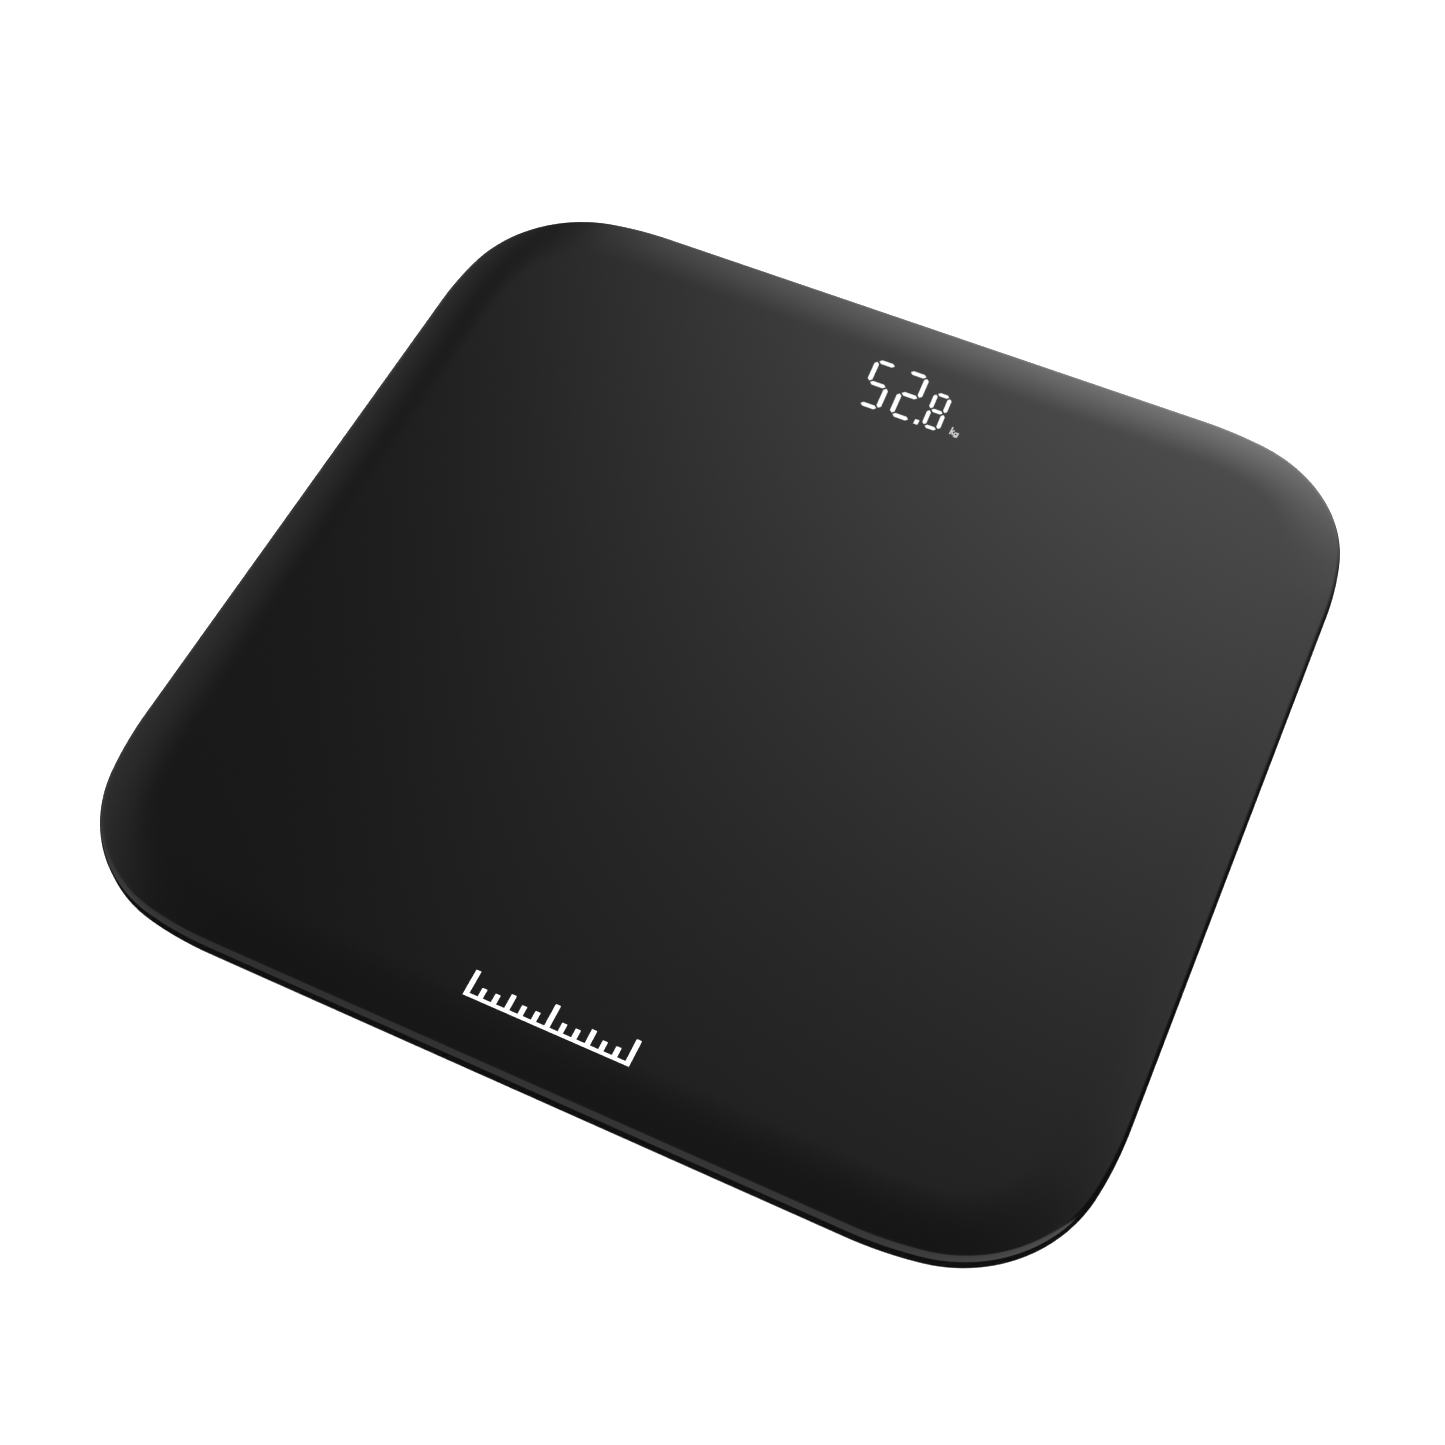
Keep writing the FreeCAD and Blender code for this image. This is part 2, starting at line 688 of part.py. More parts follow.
def make_base_shell():
    shell = swept_rim(base_section()).fuse(slab(base_bottom_inset + ring_overlap, foot_clearance, floor_top))
    rib_top = floor_top + base_rib_height
    rooms = [
        centred_block(
            0,
            bay_centre_y,
            opening_length + 2 * bay_wall,
            opening_width + 2 * bay_wall,
            floor_top,
            rib_top,
        ),
        rod(button_x, button_y, floor_top, rib_top, button_radius + button_flange + keep_off),
    ]
    cell_room = bracket_ear + ear_radius + cell_rib_room
    for side_x, side_y in CORNERS.values():
        rooms.append(rod(side_x * foot_x, side_y * foot_y, floor_top, rib_top, cell_room))
    added = [rib_grid(base_rib_pitch, base_rib, floor_top, rib_top).cut(rooms)]
    for x, y in CASE_SCREWS:
        added.append(rod(x, y, foot_clearance, tower_top, tower_radius))
    for corner in CORNERS:
        for across in (-1, 1):
            for outward in (-1, 1):
                pillar = rod(
                    across * pillar_offset, outward * pillar_offset, floor_top, cell_bottom, pillar_radius
                )
                added.append(at_corner(pillar, corner))
            boss = rod(across * bracket_ear, 0, floor_top, cell_top, small_boss_radius)
            added.append(at_corner(boss, corner))
            post_offset = cell_size / 2 + pad_fit + post_radius
            post = rod(0, across * post_offset, floor_top, cell_bottom + cell_plate / 2, post_radius)
            added.append(at_corner(post, corner))
    for length, width, top in (
        (opening_length, opening_width, collar_top),
        (cavity_length, cavity_width, roof_top),
    ):
        added.append(
            centred_block(0, bay_centre_y, length + 2 * bay_wall, width + 2 * bay_wall, foot_clearance, top)
        )
    collar_inner = button_radius + button_flange + button_collar_gap
    added.append(rod(button_x, button_y, floor_top, rib_top, collar_inner + button_collar_wall))
    added.extend(lead_clips())
    base = shell.fuse(added)
    holes = []
    for x, y in CASE_SCREWS:
        holes.append(rod(x, y, foot_clearance - past, tower_top - tower_seat, tower_radius - tower_wall))
        holes.append(rod(x, y, foot_clearance, tower_top + past, case_screw_shank + screw_hole_gap))
    for corner, (side_x, side_y) in CORNERS.items():
        x = side_x * foot_x
        y = side_y * foot_y
        holes.append(rod(x, y, foot_clearance - past, floor_top + past, cup_radius + cup_gap))
        bore_bottom = cell_top - small_screw_reach
        for across in (-1, 1):
            bore = rod(across * bracket_ear, 0, bore_bottom, cell_top + past, small_screw_shank)
            holes.append(at_corner(bore, corner))
    holes.append(
        centred_block(0, bay_centre_y, opening_length, opening_width, foot_clearance - past, ledge_bottom)
    )
    holes.append(
        centred_block(0, bay_centre_y, cavity_length, cavity_width, foot_clearance - past, roof_bottom)
    )
    for side in (-1, 1):
        holes.extend(hook_notch(side))
    holes.extend(latch_notch())
    hole_radius = button_radius + button_hole_gap
    holes.append(rod(button_x, button_y, floor_top, rib_top + past, collar_inner))
    holes.append(rod(button_x, button_y, foot_clearance - past, floor_top + past, hole_radius))
    scoop = Part.makeCylinder(
        scoop_radius,
        scoop_width,
        Vec(opening_length / 2, bay_centre_y - scoop_width / 2, foot_clearance + scoop_depth - scoop_radius),
        Vec(0, 1, 0),
    )
    holes.append(scoop)
    return base.cut(holes).removeSplitter()


# ---- battery door, cells and contacts
def make_battery_door():
    plate = rounded_block(
        0,
        bay_centre_y,
        opening_length - 2 * door_gap,
        opening_width - 2 * door_gap,
        foot_clearance,
        door_top,
        door_corner,
    )
    added = []
    for side in (-1, 1):
        y = bay_centre_y + side * hook_spread
        stem_x = hinge_x + door_gap
        low = y - hook_width / 2
        high = y + hook_width / 2
        added.append(block(stem_x, stem_x + hook_height, low, high, door_top - past, hook_top))
        added.append(block(hinge_x - hook_reach, stem_x, low, high, hook_bottom, hook_top))
        rib_y = bay_centre_y + side * battery_pitch / 2
        rib_length = cavity_length - 2 * door_rib_end
        rib_top = door_top + door_rib_height
        added.append(centred_block(0, rib_y, rib_length, door_rib, door_top - past, rib_top))
    leaf_x = -hinge_x - door_gap
    latch_low = bay_centre_y - latch_width / 2
    latch_high = bay_centre_y + latch_width / 2
    added.append(block(leaf_x - latch_leaf, leaf_x, latch_low, latch_high, door_top - past, hook_top))
    nib_x = leaf_x - latch_nib_root
    nib = prism([(nib_x, hook_bottom), (leaf_x + latch_nib, hook_bottom), (nib_x, hook_top)], 0, latch_width)
    nib.rotate(Vec(0, 0, 0), Vec(1, 0, 0), 90)
    nib.translate(Vec(0, latch_high, 0))
    added.append(nib)
    door = plate.fuse(added)
    grooves = []
    groove_top = foot_clearance + grip_groove_depth
    groove_length = latch_width + 2 * grip_overhang
    for row in range(grip_grooves):
        x = leaf_x - grip_from_edge - grip_pitch * row
        grooves.append(
            centred_block(x, bay_centre_y, grip_groove, groove_length, foot_clearance - past, groove_top)
        )
    return door.cut(grooves).removeSplitter()


def along_x(profile, x, y, z, facing):
    """Turns a (radius, distance) outline so that its axis lies along X, starting at x."""
    solid = turned(profile)
    solid.rotate(Vec(0, 0, 0), Vec(0, 1, 0), 90 * facing)
    solid.translate(Vec(x, y, z))
    return solid


def make_batteries():
    """Each cell stands against its plate contact with its nub."""
    radius = battery_diameter / 2
    can = battery_length - nub_length
    shoulder = battery_shoulder
    profile = [(0, 0), (radius - battery_foot, 0), (radius, battery_foot_length)]
    profile += [(radius, can - shoulder), (radius - shoulder, can)]
    profile += [(nub_radius, can), (nub_radius, battery_length), (0, battery_length)]
    cells = []
    for y, facing in BATTERIES:
        tail = facing * (cavity_length / 2 - contact_plate - battery_length)
        cells.append(along_x(profile, tail, y, battery_axis, facing))
    return group(cells)


def contact_block(facing, depth_from_wall, thickness, y, half_size):
    """A small plate that stands across X inside one end wall of the bay."""
    wall = facing * cavity_length / 2
    near = wall - facing * depth_from_wall
    far = near - facing * thickness
    low = battery_axis - half_size
    high = battery_axis + half_size
    return block(min(near, far), max(near, far), y - half_size, y + half_size, low, high)


def make_plate_contacts():
    return group([contact_block(facing, 0, contact_plate, y, contact_size / 2) for y, facing in BATTERIES])


def make_spring_contacts():
    """A plate on the wall with a bent leaf that presses on the cell's flat end."""
    contacts = []
    for y, facing in BATTERIES:
        back = -facing
        plate = contact_block(back, 0, contact_plate, y, contact_size / 2)
        wall = back * cavity_length / 2
        cell_end = facing * (cavity_length / 2 - contact_plate - battery_length)
        top = battery_axis + contact_size / 2
        crest = battery_axis - contact_plate
        inner = wall - back * contact_plate
        tip = cell_end
        outline = [
            (inner, top),
            (tip, crest + contact_plate),
            (tip, crest),
            (inner - back * contact_bend / 3, crest - contact_bend),
            (inner - back * (contact_bend / 3 - contact_plate), crest - contact_bend),
            (tip + back * contact_plate, crest),
            (inner, top - 2 * contact_plate),
        ]
        corners = [Vec(x, y - contact_bend / 2, z) for x, z in outline]
        leaf = Part.Face(Part.makePolygon(corners + corners[:1])).extrude(Vec(0, contact_bend, 0))
        contacts.append(plate.fuse(leaf).removeSplitter())
    return group(contacts)


# ---- feet and load cells, made about the foot's axis
def make_foot_pad():
    """A rubber disc with ring grooves in its sole and a chamfered edge."""
    sole = [(0, pad_groove)]
    radius = pad_land
    while radius + pad_land + pad_groove_width < pad_radius:
        sole += [(radius, pad_groove), (radius, 0), (radius + pad_land, 0), (radius + pad_land, pad_groove)]
        radius += pad_land + pad_groove_width
    rim = [(radius, pad_groove), (radius, 0), (pad_radius - pad_chamfer, 0), (pad_radius, pad_chamfer)]
    return turned(sole + rim + [(pad_radius, cup_floor), (0, cup_floor)])


def make_foot_cup():
    """Holds the pad below and carries the pin that bears on the load cell's tongue."""
    recess = pad_radius + pad_fit
    well_floor = cup_floor + cup_wall
    pin_top = cell_top + pin_tip
    profile = [
        (0, cup_floor),
        (recess, cup_floor),
        (recess, pad_stand),
        (cup_radius - cup_chamfer, pad_stand),
        (cup_radius, pad_stand + cup_chamfer),
        (cup_radius, flange_bottom),
        (cup_radius + cup_flange, flange_bottom),
        (cup_radius + cup_flange, flange_top),
        (pad_radius, flange_top),
        (pad_radius, well_floor),
        (pin_shoulder + cup_wall, well_floor),
        (pin_shoulder, well_floor + cup_wall),
        (pin_shoulder, cell_bottom),
        (pin_radius, cell_bottom),
        (pin_radius, pin_top - pin_chamfer),
        (pin_radius - pin_chamfer, pin_top),
        (0, pin_top),
    ]
    return turned(profile)


def make_load_cell():
    """A square steel plate with a slot on three sides of its tongue and a hole for the foot's pin."""
    plate = rounded_block(0, 0, cell_size, cell_size, cell_bottom, cell_top, cell_corner)
    low = cell_bottom - past
    high = cell_top + past
    slot_end = tongue_tip + cell_slot
    half_tongue = tongue_width / 2
    slots = [block(-half_tongue, half_tongue, tongue_tip, slot_end, low, high)]
    for side in (-1, 1):
        x = side * (tongue_width + cell_slot) / 2
        slots.append(block(x - cell_slot / 2, x + cell_slot / 2, -tongue_root, slot_end, low, high))
    slots.append(rod(0, 0, low, high, pin_radius + pin_fit))
    return plate.cut(slots)


def make_bracket():
    """A pressed steel bridge over the load cell: two ears, one upturned side, open over the tongue."""
    width = cell_size
    plate = rounded_block(0, 0, width, width, cell_top, bracket_top, cell_corner)
    added = []
    for side in (-1, 1):
        arm_x = side * (width / 2 + bracket_ear) / 2
        arm_length = bracket_ear - width / 2 + ear_overlap
        added.append(rod(side * bracket_ear, 0, cell_top, bracket_top, ear_radius))
        added.append(centred_block(arm_x, 0, arm_length, 2 * ear_radius, cell_top, bracket_top))
    lip_y = (width - bracket_plate) / 2
    lip_length = width - 2 * cell_corner
    lip_top = bracket_top + bracket_flange
    added.append(centred_block(0, lip_y, lip_length, bracket_plate, cell_top, lip_top))
    bracket = plate.fuse(added)
    window = tongue_width + 2 * cell_slot
    low = cell_top - past
    high = bracket_top + past
    holes = [block(-window / 2, window / 2, -width, tongue_tip + cell_slot, low, high)]
    for side in (-1, 1):
        holes.append(rod(side * bracket_ear, 0, low, high, small_screw_shank + screw_hole_gap))
    return bracket.cut(holes).removeSplitter()


def make_sealant():
    """The pad of white sealant over the gauges at the root of each tongue."""
    centre_y = sealant_depth / 2 - sealant_face
    width = tongue_width - 2 * sealant_side_gap
    top = cell_top + sealant_height
    blob = rounded_block(0, centre_y, width, sealant_depth, cell_top, top, sealant_corner)
    top_edges = [edge for edge in blob.Edges if edge.CenterOfMass.z > top - 0.01]
    blob = blob.makeFillet(sealant_round, top_edges)
    return group([at_corner(blob, corner) for corner in CORNERS])


# ---- screws: a pan head with a cross recess, the head's seat at z and the shank pointing up or down
def screw(x, y, seat, shank, head, head_height, reach, direction):
    rise = head_height * head_round
    profile = [(0, -head_height), (head - rise, -head_height), (head, -head_height + rise), (head, 0)]
    profile += [(shank, 0), (shank, reach - shank * tip_length), (shank * tip_radius, reach), (0, reach)]
    solid = turned([(radius, seat + direction * height) for radius, height in profile], x, y)
    crown = seat - direction * (head_height + past)
    bottom = seat - direction * head_height * (1 - recess_depth)
    slot = head * recess_length
    cuts = []
    for width, depth in ((slot, recess_width), (recess_width, slot)):
        cuts.append(centred_block(x, y, width, depth, min(crown, bottom), max(crown, bottom)))
    return solid.cut(cuts)


def make_case_screws():
    seat = tower_top - tower_seat
    return group(
        [
            screw(x, y, seat, case_screw_shank, case_screw_head, case_screw_head_height, case_screw_reach, 1)
            for x, y in CASE_SCREWS
        ]
    )


def small_screw(x, y, seat, direction):
    sizes = (small_screw_shank, small_screw_head, small_screw_head_height, small_screw_reach)
    return screw(x, y, seat, *sizes, direction)


def make_bracket_screws():
    screws = []
    for corner in CORNERS:
        for side in (-1, 1):
            x, y = corner_point(corner, side * bracket_ear, 0)
            screws.append(small_screw(x, y, bracket_top, -1))
    return group(screws)


def make_board_screws():
    return group([small_screw(x, y, board_bottom, 1) for x, y in BOARD_SCREWS])


# ---- display
def digit_bars(centre_x, low_y, width, height, stroke):
    """The seven bars of one digit as plan outlines, top bar first, then clockwise, the middle bar last."""
    half = stroke / 2
    left = -width / 2 + half
    right = width / 2 - half
    rows = (half, height / 2, height - half)

    def flat(y):
        low = left + digit_gap
        high = right - digit_gap
        return [(low, y), (low + half, y + half), (high - half, y + half), (high, y), (high - half, y - half),
                (low + half, y - half)]

    def upright(x, y0, y1):
        low = y0 + digit_gap
        high = y1 - digit_gap
        return [(x, low), (x + half, low + half), (x + half, high - half), (x, high), (x - half, high - half),
                (x - half, low + half)]

    bars = [
        flat(rows[2]),
        upright(right, rows[1], rows[2]),
        upright(right, rows[0], rows[1]),
        flat(rows[0]),
        upright(left, rows[0], rows[1]),
        upright(left, rows[1], rows[2]),
        flat(rows[1]),
    ]
    lean = math.tan(math.radians(digit_lean))
    placed = []
    for bar in bars:
        placed.append([(centre_x + x + lean * (y - height / 2), low_y + y) for x, y in bar])
    return placed


def display_cells():
    """Plan outlines of all the light wells, as a lit list and an unlit list for the reading 52.8."""
    low = display_y - digit_height / 2
    shown = {0: (), 1: (0, 2, 3, 5, 6), 2: (0, 1, 3, 4, 6)}
    lit = []
    unlit = []
    for place, bars_on in shown.items():
        bars = digit_bars(digit_first_x + place * digit_pitch, low, digit_width, digit_height, digit_stroke)
        for index, bar in enumerate(bars):
            (lit if index in bars_on else unlit).append(bar)
    lit += digit_bars(small_digit_x, low, small_digit_width, small_digit_height, small_digit_stroke)
    for x, width, depth in ((point_x, point_width, point_depth), (unit_x, unit_width, unit_depth)):
        left = x - width / 2
        right = x + width / 2
        lit.append([(left, low), (right, low), (right, low + depth), (left, low + depth)])
    return lit, unlit


def make_reflector():
    """White block with one upright light well for each bar of the reading."""
    flange = centred_block(
        display_x,
        display_y,
        display_width + 2 * display_flange,
        display_depth + 2 * display_flange,
        board_top,
        flange_under_seal,
    )
    core = centred_block(display_x, display_y, display_width, display_depth, board_top, film_under)
    lit, unlit = display_cells()
    wells = [prism(outline, board_top - past, film_under + past) for outline in lit + unlit]
    return flange.fuse(core).cut(wells).removeSplitter()


def make_gasket(cover):
    """Foam frame between the reflector's flange and the cover, pressed to the cover's inner face."""
    outer = centred_block(
        display_x,
        display_y,
        display_width + 2 * display_flange,
        display_depth + 2 * display_flange,
        flange_under_seal,
        cover_under,
    )
    inner = centred_block(
        display_x,
        display_y,
        display_width + 2 * display_fit,
        display_depth + 2 * display_fit,
        flange_under_seal - past,
        cover_under + past,
    )
    return outer.cut([inner, cover])


def make_diffuser():
    return centred_block(display_x, display_y, display_width, display_depth, film_under, window_under)


def segment_plugs(outlines):
    return group([prism(outline, film_under - segment_plug, film_under) for outline in outlines])


def make_led_chips():
    """One chip at the foot of each light well, turned along its bar."""
    lit, unlit = display_cells()
    chips = []
    for outline in lit + unlit:
        xs = [x for x, y in outline]
        ys = [y for x, y in outline]
        centre_x = (min(xs) + max(xs)) / 2
        centre_y = (min(ys) + max(ys)) / 2
        wide = max(xs) - min(xs) > max(ys) - min(ys)
        width, depth = (led_length, led_width) if wide else (led_width, led_length)
        chips.append(centred_block(centre_x, centre_y, width, depth, board_top, board_top + led_height))
    return group(chips)


# ---- main board and what is on it
def make_main_board():
    board = rounded_block(0, board_y, board_width, board_depth, board_bottom, board_top, board_corner)
    bore = small_screw_shank + screw_hole_gap
    holes = [rod(x, y, board_bottom - past, board_top + past, bore) for x, y in BOARD_SCREWS]
    return board.cut(holes)


def chip(x, y, width, depth, height, pins):
    """A small-outline package under the board with gull-wing pins along its two long sides."""
    body = centred_block(x, y, width, depth, board_bottom - height, board_bottom - chip_lift)
    row = width - 2 * chip_end
    parts = [body]
    for index in range(pins):
        pin_x = x - row / 2 + index * row / (pins - 1)
        for side in (-1, 1):
            edge = y + side * depth / 2
            foot_y0 = min(edge, edge + side * pin_foot)
            leg_y0 = min(edge, edge + side * pin_leg)
            left = pin_x - pin_width / 2
            right = pin_x + pin_width / 2
            foot_low = board_bottom - pin_foot_height
            leg_low = board_bottom - height / 2
            parts.append(block(left, right, foot_y0, foot_y0 + pin_foot, foot_low, board_bottom))
            parts.append(block(left, right, leg_y0, leg_y0 + pin_leg, leg_low, board_bottom))
    return joined(parts)


def make_controller():
    y = board_y + controller_y
    return chip(controller_x, y, controller_width, controller_depth, controller_height, controller_pins)


def make_converter():
    y = board_y + converter_y
    return chip(converter_x, y, converter_width, converter_depth, converter_height, converter_pins)


def make_chip_parts():
    """Two rows of small capacitors and resistors."""
    parts = []
    low = board_bottom - part_height
    for row in range(part_rows):
        for column in range(part_columns):
            x = first_part_x + part_pitch * column
            y = board_y + first_part_y - part_row_pitch * row
            parts.append(centred_block(x, y, part_length, part_width, low, board_bottom))
    return group(parts)


def make_switch_body():
    low = board_bottom - switch_height
    bore_top = low + plunger_stand + button_travel + plunger_spare
    body = rounded_block(button_x, button_y, switch_size, switch_size, low, board_bottom, switch_corner)
    return body.cut(rod(button_x, button_y, low - past, bore_top, plunger_radius + plunger_fit))


def make_switch_plunger():
    top = board_bottom - switch_height + plunger_stand
    return rod(button_x, button_y, plunger_bottom, top, plunger_radius)


def make_unit_button():
    shoulder_top = button_flange_bottom + button_flange_height
    profile = [
        (0, cap_bottom),
        (button_radius - button_chamfer, cap_bottom),
        (button_radius, cap_bottom + button_chamfer),
        (button_radius, button_flange_bottom),
        (button_radius + button_flange, button_flange_bottom),
        (button_radius + button_flange, shoulder_top),
        (button_stem, shoulder_top),
        (button_stem, plunger_bottom),
        (0, plunger_bottom),
    ]
    return turned(profile, button_x, button_y)


# ---- leads
def wire(points, bends, radius):
    """A round core along straight runs joined by tangent arcs. bends: one radius for each inner point."""
    corners = [Vec(*point) for point in points]
    edges = []
    start = corners[0]
    for index in range(1, len(corners) - 1):
        here = corners[index]
        before = (here - corners[index - 1]).normalize()
        after = (corners[index + 1] - here).normalize()
        turn = before.getAngle(after)
        reach = bends[index - 1] * math.tan(turn / 2)
        arc_start = here - before * reach
        arc_end = here + after * reach
        inward = (after - before).normalize()
        middle = here + inward * (bends[index - 1] / math.cos(turn / 2) - bends[index - 1])
        edges.append(Part.LineSegment(start, arc_start).toShape())
        edges.append(Part.Arc(arc_start, middle, arc_end).toShape())
        start = arc_end
    edges.append(Part.LineSegment(start, corners[-1]).toShape())
    path = Part.Wire(edges)
    heading = (corners[1] - corners[0]).normalize()
    ring = Part.Wire(Part.Circle(corners[0], heading, radius).toShape())
    core = path.makePipeShell([ring], True, True)
    length = sum(edge.Length for edge in edges)
    expected = math.pi * radius**2 * length
    if abs(core.Volume / expected - 1) > 0.01:
        print("core volume is off:", core.Volume, expected)
    return core


def beside(points, offset, bend_radius):
    """The same route moved sideways in plan by offset, with the radii that keep its arcs concentric."""
    moved = []
    radii = []
    plan = [Vec(x, y, 0) for x, y, z in points]
    for index, point in enumerate(points):
        before = (plan[index] - plan[index - 1]).normalize() if index else None
        after = (plan[index + 1] - plan[index]).normalize() if index < len(plan) - 1 else None
        first = before or after
        second = after or before
        normal = Vec(-first.y - second.y, first.x + second.x, 0).normalize()
        half_turn = normal.dot(Vec(-second.y, second.x, 0))
        shift = normal * (offset / half_turn)
        moved.append((point[0] + shift.x, point[1] + shift.y, point[2]))
        if before and after:
            cross = before.x * after.y - before.y * after.x
            side = (cross > 0.01) - (cross < -0.01)
            radii.append(bend_radius - side * offset)
    return moved, radii


def lead_route(corner):
    """From the gauges to the underside of the board: off the cell, down to the ribs' tops, along and up."""
    side_x, side_y = CORNERS[corner]
    gauge_height = cell_top + sealant_height / 2
    end_height = board_bottom - core_radius
    points = []
    for outward in (-sealant_face, -(cell_size / 2 + lead_straight)):
        x, y = corner_point(corner, 0, outward)
        points.append((x, y, gauge_height))
    board_side = board_width / 2
    end_x = side_x * (board_side - lead_end_inset)
    front_climb = min(board_side + front_lead_beside, foot_x - lead_run_inboard - front_lead_in)
    if side_y > 0:
        turn_x = side_x * max(foot_x - back_lead_x, front_climb + back_lead_pass)
        points.append((turn_x, foot_y - back_lead_y, lead_height))
        points.append((side_x * (board_side + back_lead_beside), board_y + back_lead_climb, lead_height))
        points.append((end_x, board_y + back_lead_end, end_height))
    else:
        run_x = side_x * (foot_x - lead_run_inboard)
        points.append((run_x, front_lead_start - foot_y, lead_height))
        points.append((run_x, foot_y - front_lead_stop, lead_height))
        points.append((side_x * front_climb, board_front - front_lead_climb, lead_height))
        points.append((end_x, board_y + front_lead_end, end_height))
    return points


def battery_lead_route():
    """From the bay's back wall to the front of the board."""
    start_y = bay_centre_y + cavity_width / 2 + bay_wall
    x = cavity_length / 2 - battery_lead_inset
    step = battery_lead_step
    return [
        (x, start_y, battery_axis),
        (x, start_y + battery_lead_out, battery_axis),
        (x - 2 * step, start_y + battery_lead_fall, lead_height),
        (x - 3 * step, board_front - battery_lead_foot, lead_height),
        (x - 4 * step, board_front + battery_lead_end, board_bottom - core_radius),
    ]


def battery_cores():
    offset = battery_core_pitch / 2
    return [beside(battery_lead_route(), side * offset, battery_lead_bend) for side in (-1, 1)]


def sensor_cores(corner):
    return [beside(lead_route(corner), place * core_pitch, lead_bend) for place in (-1, 0, 1)]


def make_sensor_lead(corner):
    return group([wire(points, radii, core_radius) for points, radii in sensor_cores(corner)])


def make_battery_leads():
    return group([wire(points, radii, core_radius) for points, radii in battery_cores()])


def make_solder_joints():
    """A small cone of solder beside the end of every core."""
    profile = [
        (0, board_bottom),
        (solder_radius * solder_foot, board_bottom),
        (solder_radius * solder_waist, board_bottom - solder_height / 2),
        (solder_tip, board_bottom - solder_height),
        (0, board_bottom - solder_height),
    ]
    routes = battery_cores()
    for corner in CORNERS:
        routes.extend(sensor_cores(corner))
    joints = []
    for points, radii in routes:
        end = points[-1]
        previous = points[-2]
        heading = Vec(end[0] - previous[0], end[1] - previous[1], 0).normalize()
        ahead = heading * solder_radius * solder_ahead
        joints.append(turned(profile, end[0] + ahead.x, end[1] + ahead.y))
    return group(joints)


lit_outlines, unlit_outlines = display_cells()
platform_cover = make_platform_cover()
shapes = {
    "platform_cover": platform_cover,
    "base_shell": make_base_shell(),
    "battery_door": make_battery_door(),
    "battery_cells": make_batteries(),
    "battery_plate_contacts": make_plate_contacts(),
    "battery_spring_contacts": make_spring_contacts(),
    "case_screws": make_case_screws(),
    "bracket_screws": make_bracket_screws(),
    "board_screws": make_board_screws(),
    "gauge_sealant": make_sealant(),
    "display_reflector": make_reflector(),
    "display_gasket": make_gasket(platform_cover),
    "diffuser_film": make_diffuser(),
    "lit_segments": segment_plugs(lit_outlines),
    "unlit_segments": segment_plugs(unlit_outlines),
    "led_chips": make_led_chips(),
    "main_board": make_main_board(),
    "controller_chip": make_controller(),
    "converter_chip": make_converter(),
    "board_chip_parts": make_chip_parts(),
    "switch_body": make_switch_body(),
    "switch_plunger": make_switch_plunger(),
    "unit_button": make_unit_button(),
    "battery_leads": make_battery_leads(),
    "solder_joints": make_solder_joints(),
}
for corner in CORNERS:
    shapes["load_cell_" + corner] = at_corner(make_load_cell(), corner)
    shapes["cell_bracket_" + corner] = at_corner(make_bracket(), corner)
    shapes["foot_cup_" + corner] = at_corner(make_foot_cup(), corner)
    shapes["foot_pad_" + corner] = at_corner(make_foot_pad(), corner)
    shapes["sensor_lead_" + corner] = make_sensor_lead(corner)

for name, shape in shapes.items():
    shape.exportStep("parts/" + name + ".step")
    size = shape.BoundBox
    print(f"{name}: {len(shape.Solids)} solids, {shape.Volume / 1000:.2f} cm3, valid {shape.isValid()},",
          f"z {size.ZMin:.2f} to {size.ZMax:.2f}")
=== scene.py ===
import json
import math

import bpy
import numpy as np
from mathutils import Matrix, Vector


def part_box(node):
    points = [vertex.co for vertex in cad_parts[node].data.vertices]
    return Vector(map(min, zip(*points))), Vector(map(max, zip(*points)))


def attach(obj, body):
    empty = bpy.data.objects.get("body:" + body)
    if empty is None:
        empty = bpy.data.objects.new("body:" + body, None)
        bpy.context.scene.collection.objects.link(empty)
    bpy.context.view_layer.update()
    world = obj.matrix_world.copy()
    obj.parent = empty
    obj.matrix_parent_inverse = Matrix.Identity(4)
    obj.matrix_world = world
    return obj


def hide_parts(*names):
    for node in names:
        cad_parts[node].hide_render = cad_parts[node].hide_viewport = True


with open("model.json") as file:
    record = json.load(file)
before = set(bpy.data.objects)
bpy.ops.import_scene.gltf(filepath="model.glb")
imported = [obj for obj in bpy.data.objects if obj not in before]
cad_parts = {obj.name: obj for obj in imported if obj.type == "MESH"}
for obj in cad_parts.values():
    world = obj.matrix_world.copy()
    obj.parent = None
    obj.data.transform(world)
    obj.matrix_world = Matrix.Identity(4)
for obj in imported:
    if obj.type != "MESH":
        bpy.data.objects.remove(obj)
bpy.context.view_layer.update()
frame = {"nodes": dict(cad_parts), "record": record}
MM = 0.001

